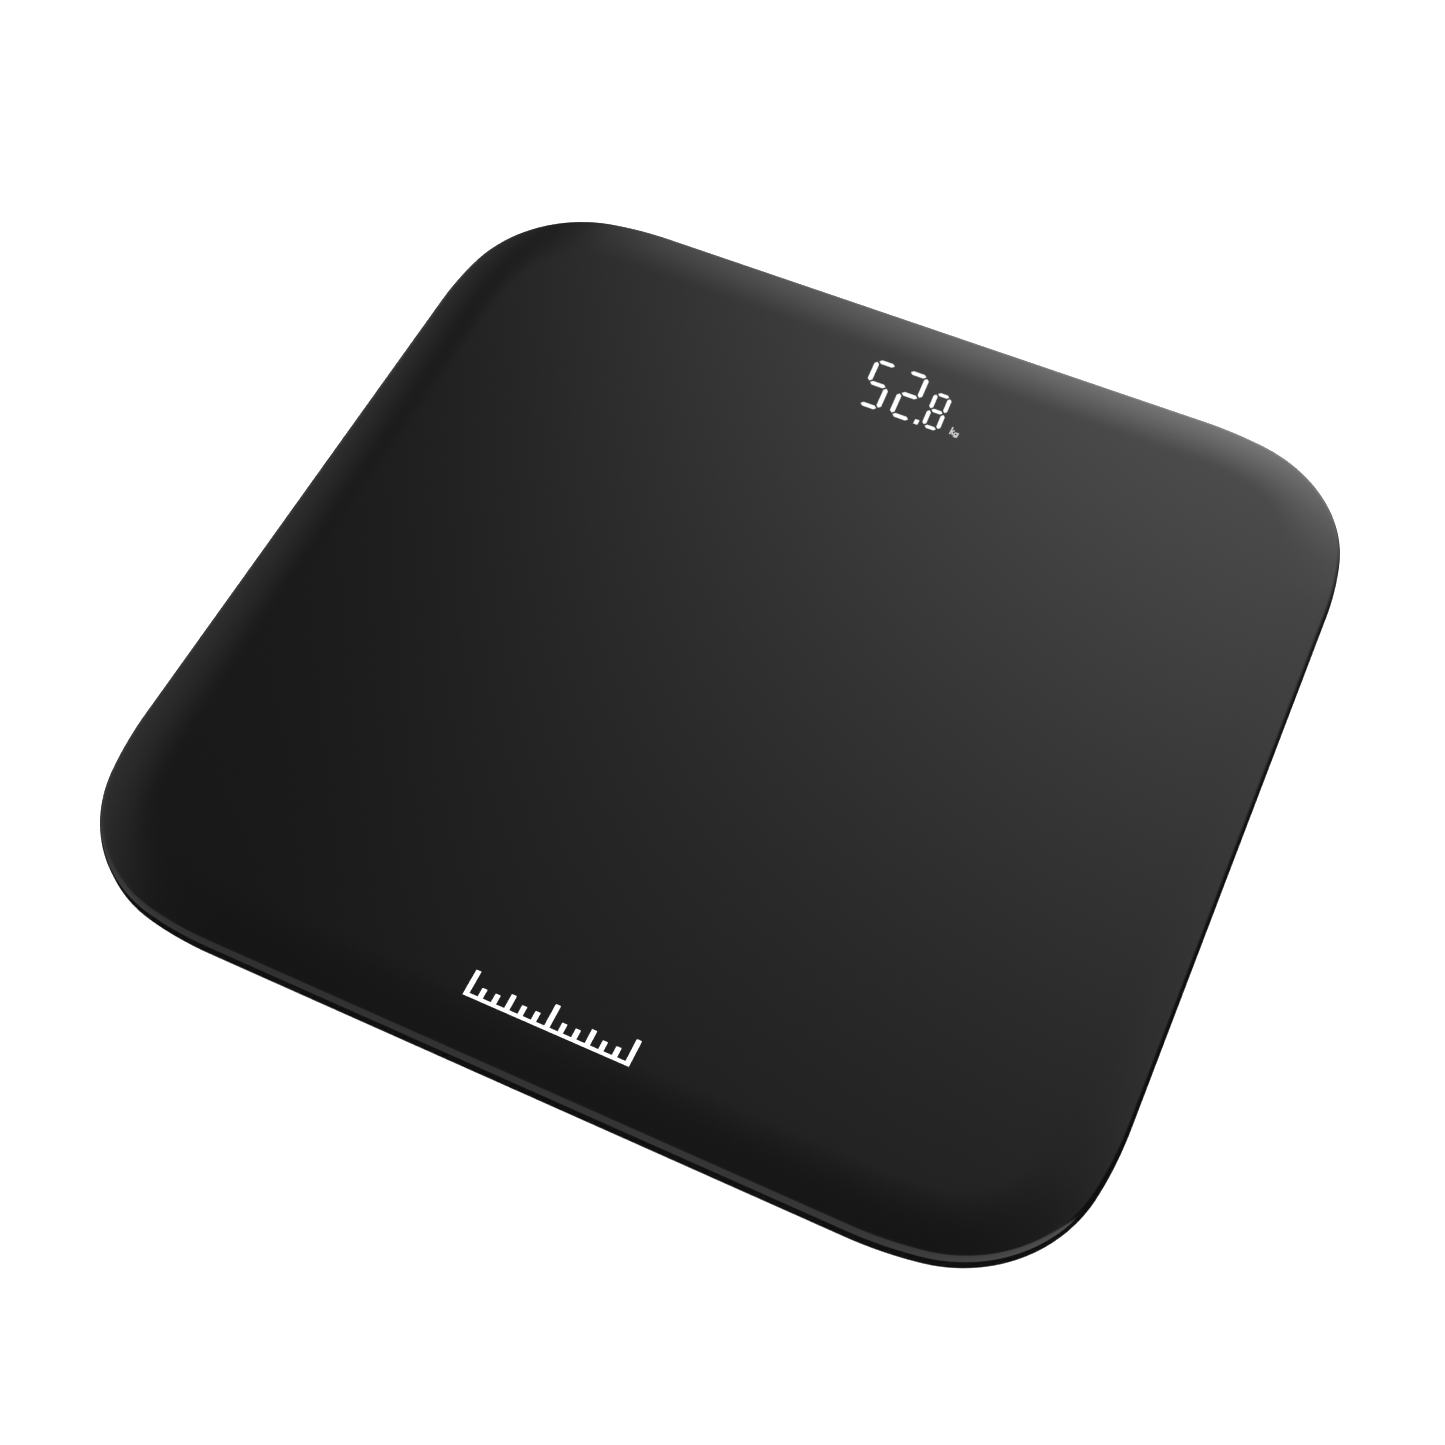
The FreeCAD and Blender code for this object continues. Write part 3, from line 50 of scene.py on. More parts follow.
# ---- the platform, in metres
cover_low, cover_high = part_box("platform_cover")
TOP = cover_high.z                       # the flat of the platform
HALF_WIDTH = cover_high.x
HALF_DEPTH = cover_high.y
SHOULDER_RADIUS = 105 * MM               # the long arc at each end of a corner
SHOULDER_SWEEP = math.radians(10.7)
NOSE_RADIUS = 41.5 * MM                  # the tight arc between two shoulders
ROLL_WIDTH = 17.4 * MM                   # how far inside the edge the platform starts to fall
ROLL_RADIUS = 95 * MM
EDGE_RADIUS = 2 * MM
RIM_DROP = 6.4 * MM                      # how far the skirt hangs below the flat
COVER_WALL = 3 * MM
SKIRT_WALL = 2.2 * MM
RIM_BREAK = 0.2 * MM                     # the broken corners at the skirt's lower edge
RIB_PITCH = 27 * MM                      # ribs under the cover
RIB_WALL = 1.8 * MM
RIB_DEPTH = 5 * MM
RIB_MARGIN = 21 * MM

# ---- the readout and the printed mark
DIGIT_LOW = HALF_DEPTH - 40.25 * MM      # foot of the digits
DIGIT_HEIGHT = 19.3 * MM
DIGIT_WIDTH = 7.5 * MM
DIGIT_STROKE = 1.45 * MM
DIGIT_GAP = 0.5 * MM
DIGIT_LEAN = math.tan(math.radians(-3.8))
DIGIT_PITCH = 10.5 * MM
TENS_X = -5.0 * MM                       # middle of the first digit that is lit
SMALL_HEIGHT = 14.6 * MM
SMALL_WIDTH = 5.8 * MM
SMALL_STROKE = 1.25 * MM
SMALL_X = 15.5 * MM
POINT_X = 11.3 * MM
POINT_SIZE = (1.3 * MM, 1.8 * MM)
UNIT_X = 23.35 * MM
UNIT_SIZE = (2.7 * MM, 3.6 * MM)
UNIT_STROKE = 0.42 * MM
GLOW_LIFT = 0.02 * MM                    # how far lit and printed shapes stand out of the skin
GLOW_SINK = 0.04 * MM
TICK_COUNT = 13
TICK_PITCH = 3.84 * MM
TICK_WIDTH = 1.3 * MM
TICK_X = 0.85 * MM                       # middle of the row
TICK_FOOT = -124.4 * MM
TICK_HEIGHTS = (3.6 * MM, 5.2 * MM, 7.5 * MM)
TICK_BASE = 0.9 * MM                     # thickness of the line that the ticks stand on

# ---- battery cells and their springs
CELL_RADIUS = 5.15 * MM
CELL_LENGTH = 44.5 * MM
CELL_PITCH = 11.1 * MM
BAY_Y = 8 * MM
CELL_AXIS = 11.35 * MM
BAY_HALF = 24.85 * MM
CONTACT_PLATE = 0.4 * MM
CONTACT_SIZE = 8 * MM

# ---- studio
AZIMUTH = 24.65                          # the camera's direction round the object, in degrees
ELEVATION = 58.02
ROLL = 0.21
DISTANCE = 593.1 * MM
AIM = Vector((3.1 * MM, -21.8 * MM, TOP))
LENS = 53.34
SENSOR = 36.0


# ======================================================================================= shader arithmetic
class Value:
    """One output of a shader tree. Arithmetic on it adds the Math node that does that sum."""

    def __init__(self, tree, socket):
        self.tree = tree
        self.socket = socket

    def math(self, operation, *inputs):
        """A Math node on this value's tree. Each input is a number or another value."""
        node = self.tree.nodes.new("ShaderNodeMath")
        node.operation = operation
        for place, entry in enumerate(inputs):
            if isinstance(entry, Value):
                self.tree.links.new(entry.socket, node.inputs[place])
            else:
                node.inputs[place].default_value = entry
        return Value(self.tree, node.outputs[0])

    def __add__(self, other):
        return self.math("ADD", self, other)

    def __radd__(self, other):
        return self.math("ADD", other, self)

    def __sub__(self, other):
        return self.math("SUBTRACT", self, other)

    def __rsub__(self, other):
        return self.math("SUBTRACT", other, self)

    def __mul__(self, other):
        return self.math("MULTIPLY", self, other)

    def __rmul__(self, other):
        return self.math("MULTIPLY", other, self)

    def exp(self):
        return self.math("EXPONENT", self)

    def ramp(self, low, high):
        """Nought at low, one at high, a smooth S between."""
        node = self.tree.nodes.new("ShaderNodeMapRange")
        node.interpolation_type = "SMOOTHSTEP"
        self.tree.links.new(self.socket, node.inputs["Value"])
        node.inputs["From Min"].default_value = low
        node.inputs["From Max"].default_value = high
        return Value(self.tree, node.outputs[0])


class Tree:
    """Adds nodes to one node tree."""

    def __init__(self, tree):
        self.tree = tree

    def node(self, kind, settings=None, sockets=None, out=0):
        """A node of that type: settings first, then a number, a colour or a link for each named socket."""
        made = self.tree.nodes.new(kind)
        for name, setting in (settings or {}).items():
            setattr(made, name, setting)
        for name, entry in (sockets or {}).items():
            if isinstance(entry, Value):
                self.tree.links.new(entry.socket, made.inputs[name])
            else:
                made.inputs[name].default_value = entry
        return Value(self.tree, made.outputs[out])

    def split(self, vector):
        """The x, y and z of a vector."""
        made = self.tree.nodes.new("ShaderNodeSeparateXYZ")
        self.tree.links.new(vector.socket, made.inputs[0])
        return [Value(self.tree, output) for output in made.outputs]

    def noise(self, where, scale, detail=3.0, roughness=0.5):
        sockets = {"Vector": where, "Scale": scale, "Detail": detail, "Roughness": roughness}
        return self.node("ShaderNodeTexNoise", {}, sockets, out="Fac")

    def stretched(self, where, x=1.0, y=1.0, z=1.0):
        return self.node("ShaderNodeMapping", {}, {"Vector": where, "Scale": (x, y, z)})

    def mix(self, share, first, second):
        """A colour between two colours."""
        made = self.tree.nodes.new("ShaderNodeMix")
        made.data_type = "RGBA"
        for place, entry in ((0, share), (6, first), (7, second)):
            if isinstance(entry, Value):
                self.tree.links.new(entry.socket, made.inputs[place])
            else:
                made.inputs[place].default_value = entry
        return Value(self.tree, made.outputs[2])


def grey(level):
    """A colour with the same share of red, green and blue."""
    return (level, level, level, 1.0)


def tone(red, green, blue):
    """An opaque colour."""
    return (red, green, blue, 1.0)


class Finish(Tree):
    """A material with its own Principled shader. What is the same all over goes on the shader's sockets."""

    def __init__(self, name, **constants):
        self.material = bpy.data.materials.new(name)
        self.material.use_nodes = True
        super().__init__(self.material.node_tree)
        self.shader = self.tree.nodes["Principled BSDF"]
        for socket, entry in constants.items():
            self.shader.inputs[socket.replace("_", " ")].default_value = entry
        self.where = self.node("ShaderNodeTexCoord", out="Object")

    def drive(self, socket, value):
        self.tree.links.new(value.socket, self.shader.inputs[socket])

    def bump(self, height, depth, strength=1.0):
        """Raises the surface by depth metres where height is one."""
        sockets = {"Strength": strength, "Distance": depth, "Height": height}
        self.drive("Normal", self.node("ShaderNodeBump", {}, sockets, out="Normal"))


# ======================================================================================= surfaces
def arc(centre, radius, start, end, steps):
    """Points (a, b) = centre + radius (cos t, sin t), t even between start and end."""
    turn = np.linspace(start, end, steps + 1)
    return np.stack([centre[0] + radius * np.cos(turn), centre[1] + radius * np.sin(turn)], axis=1)


def softened(corners, radius, steps=4):
    """An open outline with each inner corner rounded: B(t) = (1-t)^2 p + 2t(1-t) c + t^2 q, where p and q lie
    radius away from the corner c along its two sides, or half a side if that is shorter."""
    corners = np.asarray(corners, float)
    rounded = [corners[:1]]
    share = np.linspace(0, 1, steps + 1)[:, None]
    for before, corner, after in zip(corners[:-2], corners[1:-1], corners[2:]):
        ends = []
        for other in (before, after):
            length = np.linalg.norm(other - corner)
            ends.append(corner + (other - corner) * min(radius / length, 0.5))
        rounded.append((1 - share) ** 2 * ends[0] + 2 * share * (1 - share) * corner + share**2 * ends[1])
    rounded.append(corners[-1:])
    return np.concatenate(rounded)


def plan_edge(nose_steps=40, shoulder_steps=10, side_steps=6):
    """The platform's edge from above, anticlockwise, as edge points and outward normals.

    Each corner is three tangent arcs, shoulder, nose, shoulder. With step = R - r, the nose's centre is
    R - step cos(s) inside both sides, and the shoulders end R - step (cos s - sin s) from the corner. The
    same normals serve every inset: point(inset) = edge point - inset * normal.
    """
    step = SHOULDER_RADIUS - NOSE_RADIUS
    reach = SHOULDER_RADIUS - step * (math.cos(SHOULDER_SWEEP) - math.sin(SHOULDER_SWEEP))
    nose_in = SHOULDER_RADIUS - step * math.cos(SHOULDER_SWEEP)
    points, normals = [], []
    for quarter in range(4):
        side_x = 1 if quarter in (0, 3) else -1
        side_y = 1 if quarter in (0, 1) else -1
        beside = (side_x * (HALF_WIDTH - SHOULDER_RADIUS), side_y * (HALF_DEPTH - reach))
        across = (side_x * (HALF_WIDTH - reach), side_y * (HALF_DEPTH - SHOULDER_RADIUS))
        nose = (side_x * (HALF_WIDTH - nose_in), side_y * (HALF_DEPTH - nose_in))
        first, last = (beside, across) if quarter % 2 == 0 else (across, beside)
        start = quarter * math.pi / 2
        end = start + math.pi / 2
        for centre, radius, low, high, steps in (
            (first, SHOULDER_RADIUS, start, start + SHOULDER_SWEEP, shoulder_steps),
            (nose, NOSE_RADIUS, start + SHOULDER_SWEEP, end - SHOULDER_SWEEP, nose_steps),
            (last, SHOULDER_RADIUS, end - SHOULDER_SWEEP, end, shoulder_steps),
        ):
            turn = np.linspace(low, high, steps + 1)[:-1]
            normal = np.stack([np.cos(turn), np.sin(turn)], axis=1)
            points.append(np.array(centre) + radius * normal)
            normals.append(normal)
        normal = np.array([math.cos(end), math.sin(end)])
        along = np.array([-normal[1], normal[0]])
        length = 2 * ((HALF_WIDTH if quarter % 2 == 0 else HALF_DEPTH) - reach)
        share = np.linspace(0, 1, side_steps + 1)[:-1, None]
        points.append(np.array(last) + SHOULDER_RADIUS * normal + share * length * along)
        normals.append(np.repeat(normal[None], side_steps, axis=0))
    return np.concatenate(points), np.concatenate(normals)


def closed_rows(rows, first_pole=None, last_pole=None):
    """Quads between neighbouring closed rows of points, and a fan to a pole at each end that has one."""
    count, around = rows.shape[:2]
    number = np.arange(count * around).reshape(count, around)
    ahead = np.roll(number, -1, axis=1)
    faces = np.stack([number[:-1], number[1:], ahead[1:], ahead[:-1]], axis=-1).reshape(-1, 4).tolist()
    points = rows.reshape(-1, 3)
    if first_pole is not None:
        hub = np.full(around, len(points))
        points = np.vstack([points, first_pole])
        faces += np.stack([hub, number[0], ahead[0]], axis=1).tolist()
    if last_pole is not None:
        hub = np.full(around, len(points))
        points = np.vstack([points, last_pole])
        faces += np.stack([hub, ahead[-1], number[-1]], axis=1).tolist()
    return points, faces


def gathered(shapes):
    """One list of points and one of faces from several."""
    points, faces, count = [], [], 0
    for some_points, some_faces in shapes:
        points.append(some_points)
        faces += [[index + count for index in face] for face in some_faces]
        count += len(some_points)
    return np.concatenate(points), faces


def turned(profile, origin, axis=(0, 0, 1), steps=72):
    """A (radius, height) profile turned about an axis: origin + h a + r (cos t u + sin t v).
    The profile starts on the axis at the high end and comes back to it at the low end; those two points
    become the poles."""
    profile = np.asarray(profile, float)
    a = np.asarray(axis, float)
    u = np.array([0.0, 1.0, 0.0])
    v = np.cross(a, u)
    turn = np.linspace(0, 2 * math.pi, steps, endpoint=False)
    spoke = np.cos(turn)[:, None] * u + np.sin(turn)[:, None] * v
    rows = np.asarray(origin) + profile[1:-1, 1, None, None] * a + profile[1:-1, 0, None, None] * spoke[None]
    poles = [np.asarray(origin) + profile[end, 1] * a for end in (0, -1)]
    return closed_rows(rows, *poles)


def raised(outline, low, high):
    """A flat outline, anticlockwise in plan, as a plate from low to high."""
    outline = np.asarray(outline, float)
    count = len(outline)
    points = np.concatenate([np.column_stack([outline, np.full(count, level)]) for level in (high, low)])
    upper = np.arange(count)
    ahead = np.roll(upper, -1)
    sides = np.stack([upper, upper + count, ahead + count, ahead], axis=1).tolist()
    return points, sides + [upper.tolist(), (upper[::-1] + count).tolist()]


def stroke(path, width):
    """The outline, anticlockwise, of a line of that width along a path of plan points, with mitred bends."""
    path = np.asarray(path, float)
    along = np.diff(path, axis=0)
    along /= np.linalg.norm(along, axis=1)[:, None]
    first = np.vstack([along[:1], along])
    last = np.vstack([along, along[-1:]])
    middle = first + last
    left = np.stack([-middle[:, 1], middle[:, 0]], axis=1)
    left /= np.sum(left * np.stack([-last[:, 1], last[:, 0]], axis=1), axis=1)[:, None]
    return np.vstack([path - left * width / 2, (path + left * width / 2)[::-1]])


def flat_strips(path, width, low, high):
    """A closed ring-shaped line of that width along a closed path of plan points."""
    path = np.asarray(path, float)
    along = np.roll(path, -1, axis=0) - np.roll(path, 1, axis=0)
    along /= np.linalg.norm(along, axis=1)[:, None]
    right = np.stack([along[:, 1], -along[:, 0]], axis=1) * width / 2
    section = ((-1, high), (1, high), (1, low), (-1, low))
    rows = [np.column_stack([path + side * right, np.full(len(path), level)]) for side, level in section]
    rows.append(rows[0])
    points, faces = closed_rows(np.array(rows))
    return points, faces


def new_piece(name, points, faces, material, body, smooth=True):
    """Makes a mesh object whose place is in its mesh, and lets it ride on a body."""
    mesh = bpy.data.meshes.new(name)
    mesh.from_pydata(np.asarray(points, float).tolist(), [], faces)
    mesh.update()
    mesh.polygons.foreach_set("use_smooth", np.full(len(mesh.polygons), smooth))
    mesh.materials.append(material)
    piece = bpy.data.objects.new(name, mesh)
    bpy.context.scene.collection.objects.link(piece)
    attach(piece, body)
    return piece


def crisp(piece, degrees=30):
    """Keeps shading smooth except over edges sharper than that."""
    piece.data.set_sharp_from_angle(angle=math.radians(degrees))
    return piece


# ======================================================================================= platform cover
def cover_profile():
    """The cover's section as (inset, height) rows, from the middle of the top out, down and back in below.

    The roll-off is an arc of ROLL_RADIUS centred under the line where the flat ends; the edge is an arc of
    EDGE_RADIUS tangent to it and to the upright side; the inner face keeps the wall's thickness.
    """
    roll_centre = np.array([ROLL_WIDTH, TOP - ROLL_RADIUS])
    reach = ROLL_RADIUS - EDGE_RADIUS
    edge_height = roll_centre[1] + math.sqrt(reach**2 - (ROLL_WIDTH - EDGE_RADIUS) ** 2)
    meet = math.atan2(edge_height - roll_centre[1], EDGE_RADIUS - ROLL_WIDTH)
    rim = TOP - RIM_DROP
    roll = arc(roll_centre, ROLL_RADIUS, math.pi / 2, meet, 24)
    edge = arc((EDGE_RADIUS, edge_height), EDGE_RADIUS, meet, math.pi, 12)[1:]
    outer_break = arc((RIM_BREAK, rim + RIM_BREAK), RIM_BREAK, math.pi, 1.5 * math.pi, 4)
    inner_break = arc((SKIRT_WALL - RIM_BREAK, rim + RIM_BREAK), RIM_BREAK, 1.5 * math.pi, 2 * math.pi, 4)
    inner_radius = ROLL_RADIUS - COVER_WALL
    inner_meet = math.acos((SKIRT_WALL - ROLL_WIDTH) / inner_radius)
    inner_roll = arc(roll_centre, inner_radius, inner_meet, math.pi / 2, 12)
    return np.concatenate([roll, edge, outer_break, inner_break, inner_roll])


def make_cover(material):
    """The cover's skin: its section carried round the edge, point = edge - inset * normal.
    Two flats that shrink to poles over the middle close it."""
    edge, normal = plan_edge()
    section = cover_profile()
    plan = edge[None] - section[:, 0, None, None] * normal[None]
    height = np.broadcast_to(section[:, 1, None, None], plan.shape[:2] + (1,))
    rim = np.concatenate([plan, height], axis=2)
    shares = np.array([0.25, 0.5, 0.75, 0.92, 0.985])[:, None, None]
    flatten = np.array([1.0, 1.0, 0.0])
    top_centre = np.array([0, 0, TOP])
    under_centre = np.array([0, 0, TOP - COVER_WALL])
    top = top_centre + (rim[0] - top_centre) * flatten * shares
    under = under_centre + (rim[-1] - under_centre) * flatten * shares[::-1]
    points, faces = closed_rows(np.concatenate([top, rim, under]), top_centre, under_centre)
    cover = crisp(new_piece("cover_skin", points, faces, material, "platform"), 40)
    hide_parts("platform_cover")
    return cover


def make_cover_ribs(material):
    """Crossed ribs under the cover, left out over the battery bay and the board."""
    low = TOP - COVER_WALL - RIB_DEPTH
    high = TOP - COVER_WALL
    board_front = HALF_DEPTH - 59 * MM
    bars = []
    for half_across, half_along, swap in ((HALF_WIDTH, HALF_DEPTH, False), (HALF_DEPTH, HALF_WIDTH, True)):
        columns = int((half_across - RIB_MARGIN) / RIB_PITCH)
        for column in range(-columns, columns + 1):
            across = column * RIB_PITCH
            far = abs(across) / (half_across - RIB_MARGIN)
            reach = (half_along - RIB_MARGIN) * (1 - 0.16 * far**6)
            if swap:
                spans = [(-reach, reach)] if across < -20 * MM else [(-reach, -50 * MM), (50 * MM, reach)]
            elif abs(across) < 50 * MM:
                spans = [(-reach, -18 * MM), (36 * MM, board_front)]
            else:
                spans = [(-reach, reach)]
            for start, end in spans:
                corners = [(across - RIB_WALL / 2, start), (across + RIB_WALL / 2, start)]
                corners += [(across + RIB_WALL / 2, end), (across - RIB_WALL / 2, end)]
                if swap:
                    corners = [(y, x) for x, y in corners][::-1]
                bars.append(raised(corners, low, high))
    points, faces = gathered(bars)
    ribs = new_piece("cover_ribs", points, faces, material, "platform", smooth=False)
    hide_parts("platform_cover")


# ======================================================================================= readout and mark
def digit_bars(centre_x, width, height, line, lit):
    """The lit bars of a seven-bar digit. A bar is a six-sided outline, pointed at both ends.
    The digit leans by x + lean * (y - height / 2). Bars count from the top clockwise, the middle one last."""
    half = line / 2
    left = half - width / 2
    right = width / 2 - half
    rows = (half, height / 2, height - half)

    def level(y):
        low, high = left + DIGIT_GAP, right - DIGIT_GAP
        return [(low, y), (low + half, y - half), (high - half, y - half), (high, y), (high - half, y + half),
                (low + half, y + half)]

    def upright(x, start, end):
        low, high = start + DIGIT_GAP, end - DIGIT_GAP
        return [(x, low), (x + half, low + half), (x + half, high - half), (x, high), (x - half, high - half),
                (x - half, low + half)]

    bars = [level(rows[2]), upright(right, rows[1], rows[2]), upright(right, rows[0], rows[1]),
            level(rows[0]), upright(left, rows[0], rows[1]), upright(left, rows[1], rows[2]), level(rows[1])]
    bars = np.array([bars[index] for index in lit])
    bars[..., 0] += centre_x + DIGIT_LEAN * (bars[..., 1] - height / 2)
    bars[..., 1] += DIGIT_LOW
    return list(bars)


def make_readout(material):
    """The reading 52.8 as thin plates in the skin of the cover."""
    bars = digit_bars(TENS_X, DIGIT_WIDTH, DIGIT_HEIGHT, DIGIT_STROKE, (0, 2, 3, 5, 6))
    bars += digit_bars(TENS_X + DIGIT_PITCH, DIGIT_WIDTH, DIGIT_HEIGHT, DIGIT_STROKE, (0, 1, 3, 4, 6))
    bars += digit_bars(SMALL_X, SMALL_WIDTH, SMALL_HEIGHT, SMALL_STROKE, range(7))
    width, height = POINT_SIZE
    bars.append([(POINT_X - width / 2, DIGIT_LOW), (POINT_X + width / 2, DIGIT_LOW),
                 (POINT_X + width / 2, DIGIT_LOW + height), (POINT_X - width / 2, DIGIT_LOW + height)])
    points, faces = gathered([raised(bar, TOP - GLOW_SINK, TOP + GLOW_LIFT) for bar in bars])
    new_piece("readout_light", points, faces, material, "platform", smooth=False)


def make_unit_sign(material):
    """The unit of mass, kg, as thin strokes: a stem with two arms, and a ring with a tail."""
    width, height = UNIT_SIZE
    left = UNIT_X - width / 2
    foot = DIGIT_LOW + 0.75 * MM
    top = foot + height * 0.8
    half = UNIT_STROKE / 2
    middle = left + half + 0.1 * MM
    arm = left + width * 0.42
    ring_radius = width * 0.2
    ring = np.array([left + width * 0.74, foot + ring_radius + half * 0.4])
    turn = np.linspace(0, 2 * math.pi, 24, endpoint=False)
    loop = ring + ring_radius * np.stack([np.cos(turn), np.sin(turn)], axis=1)
    tail = [ring + (ring_radius, ring_radius + half), ring + (ring_radius, -ring_radius * 1.15)]
    sweep = np.linspace(-0.5, -math.pi + 0.4, 8)
    bow = ring_radius * np.stack([np.cos(sweep), 0.55 * np.sin(sweep)], axis=1)
    hook = ring + (0, -ring_radius * 1.35) + bow
    lines = [
        [(left + half, foot), (left + half, top)],
        [(middle, foot + height * 0.27), (arm, foot + height * 0.52)],
        [(middle + 0.25 * MM, foot + height * 0.32), (arm, foot)],
        np.vstack([tail, hook]),
    ]
    high = TOP + GLOW_LIFT
    low = TOP - GLOW_SINK
    shapes = [raised(stroke(line, UNIT_STROKE), low, high) for line in lines]
    shapes.append(flat_strips(loop, UNIT_STROKE, low, high))
    points, faces = gathered(shapes)
    new_piece("readout_unit", points, faces, material, "platform", smooth=False)


def make_tick_row(material):
    """A printed row of graduation ticks on a base line: long in the middle and at the ends, short between."""
    shapes = []
    first = TICK_X - TICK_PITCH * (TICK_COUNT - 1) / 2
    high = TOP + GLOW_LIFT
    low = TOP - GLOW_SINK
    for place in range(TICK_COUNT):
        x = first + place * TICK_PITCH
        rank = 2 if place % 6 == 0 else (1 if place % 3 == 0 else 0)
        tick = stroke([(x, TICK_FOOT), (x, TICK_FOOT + TICK_HEIGHTS[rank])], TICK_WIDTH)
        shapes.append(raised(tick, low, high))
    half = TICK_WIDTH / 2
    start = first + half
    for place in range(TICK_COUNT - 1):
        line = [(start + place * TICK_PITCH, TICK_FOOT + TICK_BASE / 2),
                (start + (place + 1) * TICK_PITCH - TICK_WIDTH, TICK_FOOT + TICK_BASE / 2)]
        shapes.append(raised(stroke(line, TICK_BASE), low, high))
    points, faces = gathered(shapes)
    new_piece("printed_ticks", points, faces, material, "platform", smooth=False)


# ======================================================================================= feet
def make_feet(rubber, plastic):
    """Each foot as two turned pieces: the ringed rubber pad and the cup that holds it, corners softened."""
    pad = [(0, 3.2), (12, 3.2), (12, 1.0), (11, 0), (9.2, 0), (9.2, 0.5), (8.2, 0.5), (8.2, 0), (5.8, 0),
           (5.8, 0.5), (4.8, 0.5), (4.8, 0), (2.4, 0), (2.4, 0.5), (0, 0.5)]
    cup = [(0, 11.4), (1.6, 11.4), (2, 11), (2, 8.6), (4, 8.6), (4, 7.0), (5.9, 5.1), (12, 5.1), (12, 7.6),
           (15.4, 7.6), (15.4, 6.6), (13.9, 6.6), (13.9, 2.6), (13.3, 2.0), (12.1, 2.0), (12.1, 3.2),
           (0, 3.2)]
    for corner in ("front_left", "front_right", "back_left", "back_right"):
        low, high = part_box("foot_pad_" + corner)
        centre = ((low.x + high.x) / 2, (low.y + high.y) / 2, low.z)
        body = "foot_" + corner
        for part, profile, material, slot in (
            ("pad", pad, rubber, "foot_rubber"),
            ("cup", cup, plastic, "foot_plastic"),
        ):
            points, faces = turned(softened(np.array(profile) * MM, 0.22 * MM, 3), centre, steps=96)
            name = "foot_" + part + "_skin_" + corner
            piece = crisp(new_piece(name, points, faces, material, body), 35)
            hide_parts("foot_" + part + "_" + corner)


# ======================================================================================= batteries
def make_cells(sleeve, steel):
    """Three cells: a steel can with its nub, and a printed sleeve that wraps it and turns in at both ends."""
    radius = CELL_RADIUS
    can_length = CELL_LENGTH - 1.2 * MM
    inner = radius - 0.12 * MM
    can = [(0, CELL_LENGTH), (1.9 * MM, CELL_LENGTH), (1.9 * MM, can_length + 0.1 * MM),
           (inner - 0.9 * MM, can_length), (inner, can_length - 0.4 * MM), (inner, 0.5 * MM),
           (inner - 0.6 * MM, 0.1 * MM), (inner - 1.3 * MM, 0.1 * MM), (inner - 1.6 * MM, 0), (0, 0)]
    wrap = [(inner - 0.1 * MM, can_length - 0.5 * MM), (inner - 0.75 * MM, can_length + 0.05 * MM),
            (inner - 0.65 * MM, can_length + 0.15 * MM), (radius, can_length - 0.35 * MM),
            (radius, 0.35 * MM), (inner - 0.4 * MM, 0.02 * MM), (inner - 0.5 * MM, 0.15 * MM),
            (inner - 0.1 * MM, 0.6 * MM)]
    cans, wraps = [], []
    for place in (-1, 0, 1):
        facing = 1 if place else -1
        tail = (facing * (BAY_HALF - CONTACT_PLATE - CELL_LENGTH), BAY_Y + place * CELL_PITCH, CELL_AXIS)
        axis = (facing, 0, 0)
        cans.append(turned(softened(can, 0.25 * MM), tail, axis))
        rows = turned(np.vstack([wrap[:1], softened(wrap, 0.2 * MM), wrap[-1:]]), tail, axis)[0][:-2]
        rows = rows.reshape(-1, 72, 3)
        wraps.append(closed_rows(np.concatenate([rows, rows[:1]])))
    points, faces = gathered(cans)
    shell = crisp(new_piece("cell_cans", points, faces, steel, "platform"))
    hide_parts("battery_cells")
    points, faces = gathered(wraps)
    cover = crisp(new_piece("cell_sleeves", points, faces, sleeve, "platform"))
    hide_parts("battery_cells")


def coil(start, axis, length, wide, narrow, turns, wire, steps=150, around=10):
    """A conical spring: its line is start + s L a + r(s) (cos wt u + sin wt v), r going from wide to narrow.
    The first and last three quarters of a turn lie almost flat. A round section is carried along it."""
    a = np.asarray(axis, float)
    u = np.array([0.0, 1.0, 0.0])
    v = np.cross(a, u)
    share = np.linspace(0, 1, steps)[:, None]
    turn = 2 * math.pi * turns * share
    rise = share - 0.85 * np.sin(2 * math.pi * share) / (2 * math.pi)
    radius = wide + (narrow - wide) * share
    spoke = np.cos(turn) * u + np.sin(turn) * v
    path = np.asarray(start) + (wire + rise * (length - 2 * wire)) * a + radius * spoke
    along = np.gradient(path, axis=0)
    along /= np.linalg.norm(along, axis=1)[:, None]
    side = spoke - np.sum(spoke * along, axis=1)[:, None] * along
    side /= np.linalg.norm(side, axis=1)[:, None]
    up = np.cross(along, side)
    ring = np.linspace(0, 2 * math.pi, around, endpoint=False)[None, :, None]
    rows = path[:, None] + wire * (np.cos(ring) * side[:, None] - np.sin(ring) * up[:, None])
    return closed_rows(rows, path[0], path[-1])


